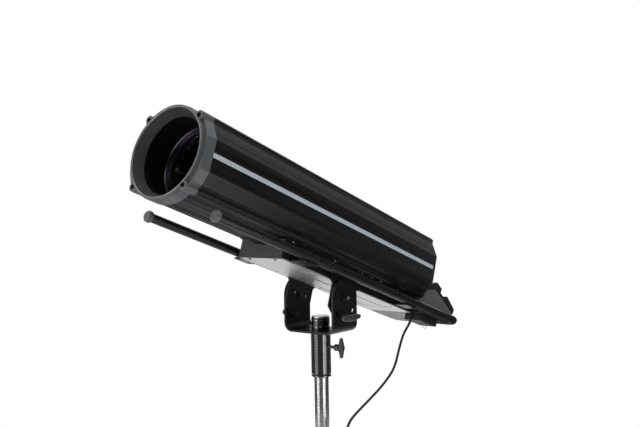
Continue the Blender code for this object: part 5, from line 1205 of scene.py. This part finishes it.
@dataclass
class MainsCord(Assembly):
    """The mains lead: it hangs from its relief, and its spare length is wound and tied."""

    place = STILL
    radius: float = 3.1
    length: float = 1.77
    root: tuple[float, float, float] = (70.0, 312.0, 33.3)
    relief: float = 22.0
    relief_lean: float = math.radians(18)
    gap: float = 0.3
    mean_turn: float = 11 * 3.1
    slots: tuple[tuple[int, int], ...] = (
        (1, 3), (1, 1), (1, -1), (0, -1), (-1, -1), (-1, 1), (0, 1))
    route: tuple[tuple[float, float, float], ...] = (
        (0.5, -16.7, -16.6), (1.0, -36.7, -33.5), (3.0, -53.2, -53.0), (6.0, -68.8, -72.6),
        (9.0, -85.3, -95.5), (12.5, -103.6, -111.9), (15.5, -123.7, -123.8),
        (18.5, -149.7, -135.8), (21.0, -174.4, -145.9), (23.5, -198.7, -154.4),
        (25.5, -222.1, -162.3), (26.5, -243.8, -170.2), (27.5, -265.1, -178.0),
        (28.0, -284.1, -185.6), (28.0, -299.7, -192.9), (28.0, -312.7, -202.1),
        (28.0, -321.7, -214.1), (28.0, -326.2, -228.1), (28.0, -327.2, -243.1))
    plug_radius: float = 15.0
    plug_relief: float = 22.0
    plug_body: float = 30.0
    pin_out: float = 9.5

    def leaving(self) -> Vector:
        """The way that the relief points, on the level head."""
        return Vector((0, -math.sin(self.relief_lean), -math.cos(self.relief_lean)))

    def hanging(self) -> list[Vector]:
        """Points of the hanging stretch, from the relief down to the coil."""
        root = spot(*self.root)
        first = HEAD @ (root + self.leaving() * (self.relief + self.gap) * MM)
        lead = HEAD @ (root + self.leaving() * (self.relief + 3 * self.radius) * MM)
        return [first, lead] + [first + spot(*p) for p in self.route]

    def coil_rise(self) -> float:
        """How far over the coil's middle the hanging stretch meets it."""
        outer = self.mean_turn + 2 * self.radius
        return (math.sqrt(outer ** 2 - self.mean_turn ** 2) + self.gap) * MM

    def coil_middle(self) -> Vector:
        """The middle of the coil, beside the foot of the hanging stretch."""
        foot = self.hanging()[-1]
        return foot + Vector((0, (self.mean_turn + self.radius) * MM, -self.coil_rise()))

    def tail(self) -> Vector:
        """Where the cord leaves the coil and enters the plug."""
        aside = -(self.mean_turn + self.radius) * MM
        return self.coil_middle() + Vector((0, aside, -self.coil_rise()))

    def turn_at(self, turned: float) -> Vector:
        """A point of the winding, from the coil's middle.

        Args:
            turned: Angle wound so far, in degrees.

        Returns:
            The point, where each turn moves to its next lane early in its round.
        """
        lap = min(len(self.slots) - 2, int(turned // 360))
        part = ease((turned - 360 * lap - 30) / 60)
        lane, layer = (self.slots[lap][i] * (1 - part) + self.slots[lap + 1][i] * part
                       for i in (0, 1))
        out, at = self.mean_turn + layer * self.radius, math.radians(turned)
        return spot(lane * 2 * self.radius, -out * math.cos(at), -out * math.sin(at))

    def line(self) -> list[Vector]:
        """The cord's centre line, from the relief to the plug."""
        middle = self.coil_middle()
        laps = len(self.slots) - 1
        wound = [middle + self.turn_at(turned) for turned in range(0, 360 * laps + 1, 12)]
        return catmull(self.hanging()[:-1] + wound + [self.tail()], 4 * MM)

    def build_cord(self) -> None:
        line = self.line()
        curve = bpy.data.curves.new("mains_cord", "CURVE")
        curve.dimensions = "3D"
        curve.bevel_depth = self.radius * MM
        curve.bevel_resolution = 3
        curve.use_fill_caps = True
        spline = curve.splines.new("POLY")
        spline.points.add(len(line) - 1)
        for point, at in zip(spline.points, line):
            point.co = (*at, 1)
        spline.use_smooth = True
        curve.materials.append(Palette.RUBBER.material())
        piece = bpy.data.objects.new("mains_cord", curve)
        bpy.context.scene.collection.objects.link(piece)
        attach(piece, self.body)
        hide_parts("cord", "cord_coil")
        plug = self.build_plug()
        tie = self.build_tie()
        LOG.info("mains_cord: %.3f m", sum((b - a).length for a, b in zip(line, line[1:])))

    def build_plug(self) -> Piece:
        """The round two-pin plug with its ribbed relief, hanging under the coil."""
        r, top = self.plug_radius, -self.plug_relief
        relief = [(0, 0), (self.radius, 0)] + relief_ribs(self.radius + 0.55, 0.28, -1.2, 3.3, 2.1)
        face = top - self.plug_body
        shell = [(5.2, top), (9.0, top - 1.2), (11.4, top - 4), (12.6, top - 8), (12.2, top - 13),
                 (12.6, top - 17), (14.2, top - 19.5), (r, top - 21), (r, face + 0.8),
                 (r - 0.8, face), (0, face)]
        parts = [Bench.turned("plug_body", relief + shell)]
        parts[0].data.materials.append(Palette.RUBBER.material())
        for side in (1, -1):
            pin = Bench.turned("plug_pin", [
                (0, 1), (2.4, 1), (2.4, -17.6), (2.0, -18.6), (1.1, -19), (0, -19)], 20)
            pin.data.materials.append(Palette.STEEL.material())
            pin.data.transform(Matrix.Translation(spot(0, side * self.pin_out, face)))
            parts.append(pin)
        plug = Bench.joined("mains_plug", parts)
        plug.data.transform(Matrix.Translation(self.tail()))
        Bench.smoothed(plug)
        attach(plug, self.body)
        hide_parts("cord_plug")
        LOG.info("mains_plug: %d faces", len(plug.data.polygons))
        return plug

    def build_tie(self) -> Piece:
        """The hook-and-loop strap round the top of the coil."""
        half_wide, half_deep = 3 * self.radius + 1.1, 2 * self.radius + 1.1
        tie = Bench.slab("coil_tie", (-half_wide, -9, -half_deep), (half_wide, 9, half_deep),
                         1.6, 3)
        hole = Bench.slab("hole", (-half_wide + 1, -12, -half_deep + 1),
                          (half_wide - 1, 12, half_deep - 1), 1.0, 3)
        Bench.cut(tie, hole)
        flap = Bench.slab("flap", (-half_wide + 2, -8.4, half_deep - 0.2),
                          (half_wide - 5, 8.4, half_deep + 0.9))
        tie = Bench.joined("coil_tie", [tie, flap])
        top = self.coil_middle() + spot(0, 0, self.mean_turn)
        tie.data.transform(Matrix.Translation(top))
        self.keep(tie, Palette.STRAP, "black_plastic")
        return tie

    def build_relief(self) -> None:
        """Ribs of the strain relief where the cord leaves the head."""
        tube = ([(4.1, -3.2)] + relief_ribs(6.3, -0.28, -3.2, 3.0, 1.9)
                + [(3.4, -21.6), (3.4, -3.2)])
        lean = Matrix.Translation(spot(*self.root)) @ Matrix.Rotation(-self.relief_lean, 4, "X")
        self.lathe("relief_ribs", tube, 32, HEAD @ lean, Palette.RUBBER, "black_plastic")

    def build(self) -> None:
        """Builds the cord, its plug, its tie and its relief."""
        self.build_cord()
        self.build_relief()


# Studio


@dataclass(frozen=True)
class Card:
    """A card bent round the lamp, which shows in reflections alone."""

    name: str
    angles: tuple[float, float]
    radius: float
    heights: tuple[float, float]
    level: float

    def build(self) -> None:
        """Cuts the card out of a tube and hides it from all but glossy rays."""
        low, high = self.heights
        start, end = (math.radians(angle) for angle in self.angles)
        Bench.clear()
        bpy.ops.mesh.primitive_cylinder_add(vertices=180, radius=self.radius, depth=high - low,
                                            end_fill_type="NOTHING",
                                            location=(0, 0, (low + high) / 2))
        card = Bench.added(self.name)
        Bench.pick(card, lambda f: (math.atan2(f.center.y, f.center.x) - start) % math.tau
                   > end - start)
        bpy.ops.mesh.delete(type="FACE")
        Bench.finish_edit()
        paint, sheet = NodeSheet.material(self.name)
        glow = sheet.add("ShaderNodeEmission", {"Strength": self.level})
        sheet.fill(sheet.tree.nodes["Material Output"], {"Surface": glow.outputs[0]})
        card.data.materials.append(paint)
        card.visible_camera = card.visible_diffuse = False
        card.visible_shadow = card.visible_transmission = False


@dataclass
class Studio:
    """Pale floor, white surroundings, soft lamps and the camera of the photograph."""

    azimuth: float = 38.73
    pitch: float = -0.73
    roll: float = -0.97
    camera_at: tuple[float, float, float] = (1.31047, -1.6289, 0.22687 + PIVOT_HEIGHT)
    focal_pixels: float = 863.09
    picture_width: int = 640
    floor_radius: float = 7.0
    shadow_fades: tuple[float, float] = (0.2, 0.52)
    ambient: float = 0.55
    cards: tuple[Card, ...] = (
        Card("dark_wall", (-127, 85), 4.5, (0.005, 3.7), 0.01),
        Card("low_wall", (-200, 100), 0.6, (0.002, 0.42), 0.11),
        Card("left_strip", (-117, -101), 0.58, (0.002, 0.42), 6.0),
        Card("right_strip", (-21, 1), 0.58, (0.002, 0.42), 6.0))
    lamps: tuple[tuple[str, Way, tuple[float, float], float], ...] = (
        ("top_soft_box", (-0.5, 0.3, 3.0), (2.4, 2.4), 42),
        ("left_soft_box", (-0.85, -2.6, 0.75), (1.0, 1.5), 24),
        ("right_soft_box", (2.3, -0.4, 2.0), (1.2, 1.6), 10))

    def camera(self) -> None:
        """The camera at the photograph's angle, for a picture 640 by 427."""
        azimuth, pitch, roll = (math.radians(v) for v in (self.azimuth, self.pitch, self.roll))
        ahead = Vector((-math.sin(azimuth) * math.cos(pitch),
                        math.cos(azimuth) * math.cos(pitch), math.sin(pitch)))
        right = Vector((math.cos(azimuth), math.sin(azimuth), 0))
        up = right.cross(ahead)
        side = right * math.cos(roll) + up * math.sin(roll)
        top = up * math.cos(roll) - right * math.sin(roll)
        data = bpy.data.cameras.new("camera")
        data.sensor_width = 36
        data.lens = self.focal_pixels / self.picture_width * data.sensor_width
        camera = bpy.data.objects.new("camera", data)
        camera.matrix_world = Matrix((side, top, -ahead)).transposed().to_4x4()
        camera.location = self.camera_at
        bpy.context.scene.collection.objects.link(camera)
        bpy.context.scene.camera = camera

    @staticmethod
    def seen(sheet: NodeSheet) -> NodeSocket:
        """1 for what the camera sees directly, in a reflection or through glass."""
        path = sheet.add("ShaderNodeLightPath")
        first = sheet.maths("MAXIMUM", path.outputs["Is Camera Ray"], path.outputs["Is Glossy Ray"])
        return sheet.maths("MAXIMUM", first, path.outputs["Is Transmission Ray"])

    def world(self) -> None:
        """White surroundings, at a plainer level for what only lights the object."""
        world = bpy.data.worlds.new("white_studio")
        bpy.context.scene.world = world
        world.use_nodes = True
        sheet = NodeSheet(world.node_tree)
        plain = (self.ambient,) * 3 + (1,)
        colour = sheet.blend(self.seen(sheet), plain, (1, 1, 1, 1))
        sheet.fill(sheet.tree.nodes["Background"], {"Color": colour})

    def floor(self) -> None:
        """Pale floor that keeps the object's shadow and turns white further out."""
        Bench.clear()
        bpy.ops.mesh.primitive_circle_add(vertices=96, radius=self.floor_radius,
                                          fill_type="NGON", location=(0, 0, -0.3 * MM))
        floor = Bench.added("studio_floor")
        paint, sheet = NodeSheet.material("pale_floor")
        shader = sheet.tree.nodes["Principled BSDF"]
        place = sheet.add("ShaderNodeTexCoord").outputs["Object"]
        reach = sheet.add("ShaderNodeVectorMath", {0: place}, operation="LENGTH")
        mottle = sheet.blend(sheet.noise(place, 30.0, 4.0), (0.80, 0.80, 0.80, 1),
                             (0.83, 0.83, 0.83, 1))
        sheet.fill(shader, {"Base Color": mottle, "Roughness": 0.9, "Specular IOR Level": 0.1})
        white = sheet.add("ShaderNodeEmission", {"Strength": 1.0})
        clear = sheet.range(reach.outputs["Value"], *self.shadow_fades)
        share = sheet.maths("MULTIPLY", clear, self.seen(sheet))
        mixed = sheet.add("ShaderNodeMixShader", {0: share, 1: shader.outputs[0],
                                                  2: white.outputs[0]})
        sheet.fill(sheet.tree.nodes["Material Output"], {"Surface": mixed.outputs[0]})
        floor.data.materials.append(paint)

    @staticmethod
    def lamp(name: str, at: tuple[float, float, float], size: tuple[float, float],
             watts: float) -> None:
        """A soft box that looks at the tilt axis.

        Args:
            name: Its name.
            at: Where it stands.
            size: Its width and height.
            watts: Its power.
        """
        data = bpy.data.lights.new(name, "AREA")
        data.shape, data.size, data.size_y, data.energy = "RECTANGLE", *size, watts
        lamp = bpy.data.objects.new(name, data)
        lamp.location = at
        way = Vector((0, 0, PIVOT_HEIGHT + 0.1)) - Vector(at)
        lamp.rotation_mode = "QUATERNION"
        lamp.rotation_quaternion = way.to_track_quat("-Z", "Y")
        bpy.context.scene.collection.objects.link(lamp)

    def build(self) -> None:
        """Sets the stage."""
        self.world()
        self.floor()
        for card in self.cards:
            card.build()
        for lamp in self.lamps:
            self.lamp(*lamp)
        bpy.context.scene.view_settings.view_transform = "Standard"


def main() -> None:
    """Builds the studio and every sub-assembly, the camera and the cord first."""
    logging.basicConfig(level=logging.INFO, format="%(name)s: %(message)s", stream=sys.stdout)
    Bench.clear()
    studio = Studio()
    studio.camera()
    MainsCord().build()
    for assembly in (Stand(), Yoke(), Muzzle(), Body(), Optics(), Chassis(), Rails(),
                     ControlBox(), Sockets()):
        assembly.build()
    studio.build()
    Bench.clear()


if __name__ == "__main__":
    main()
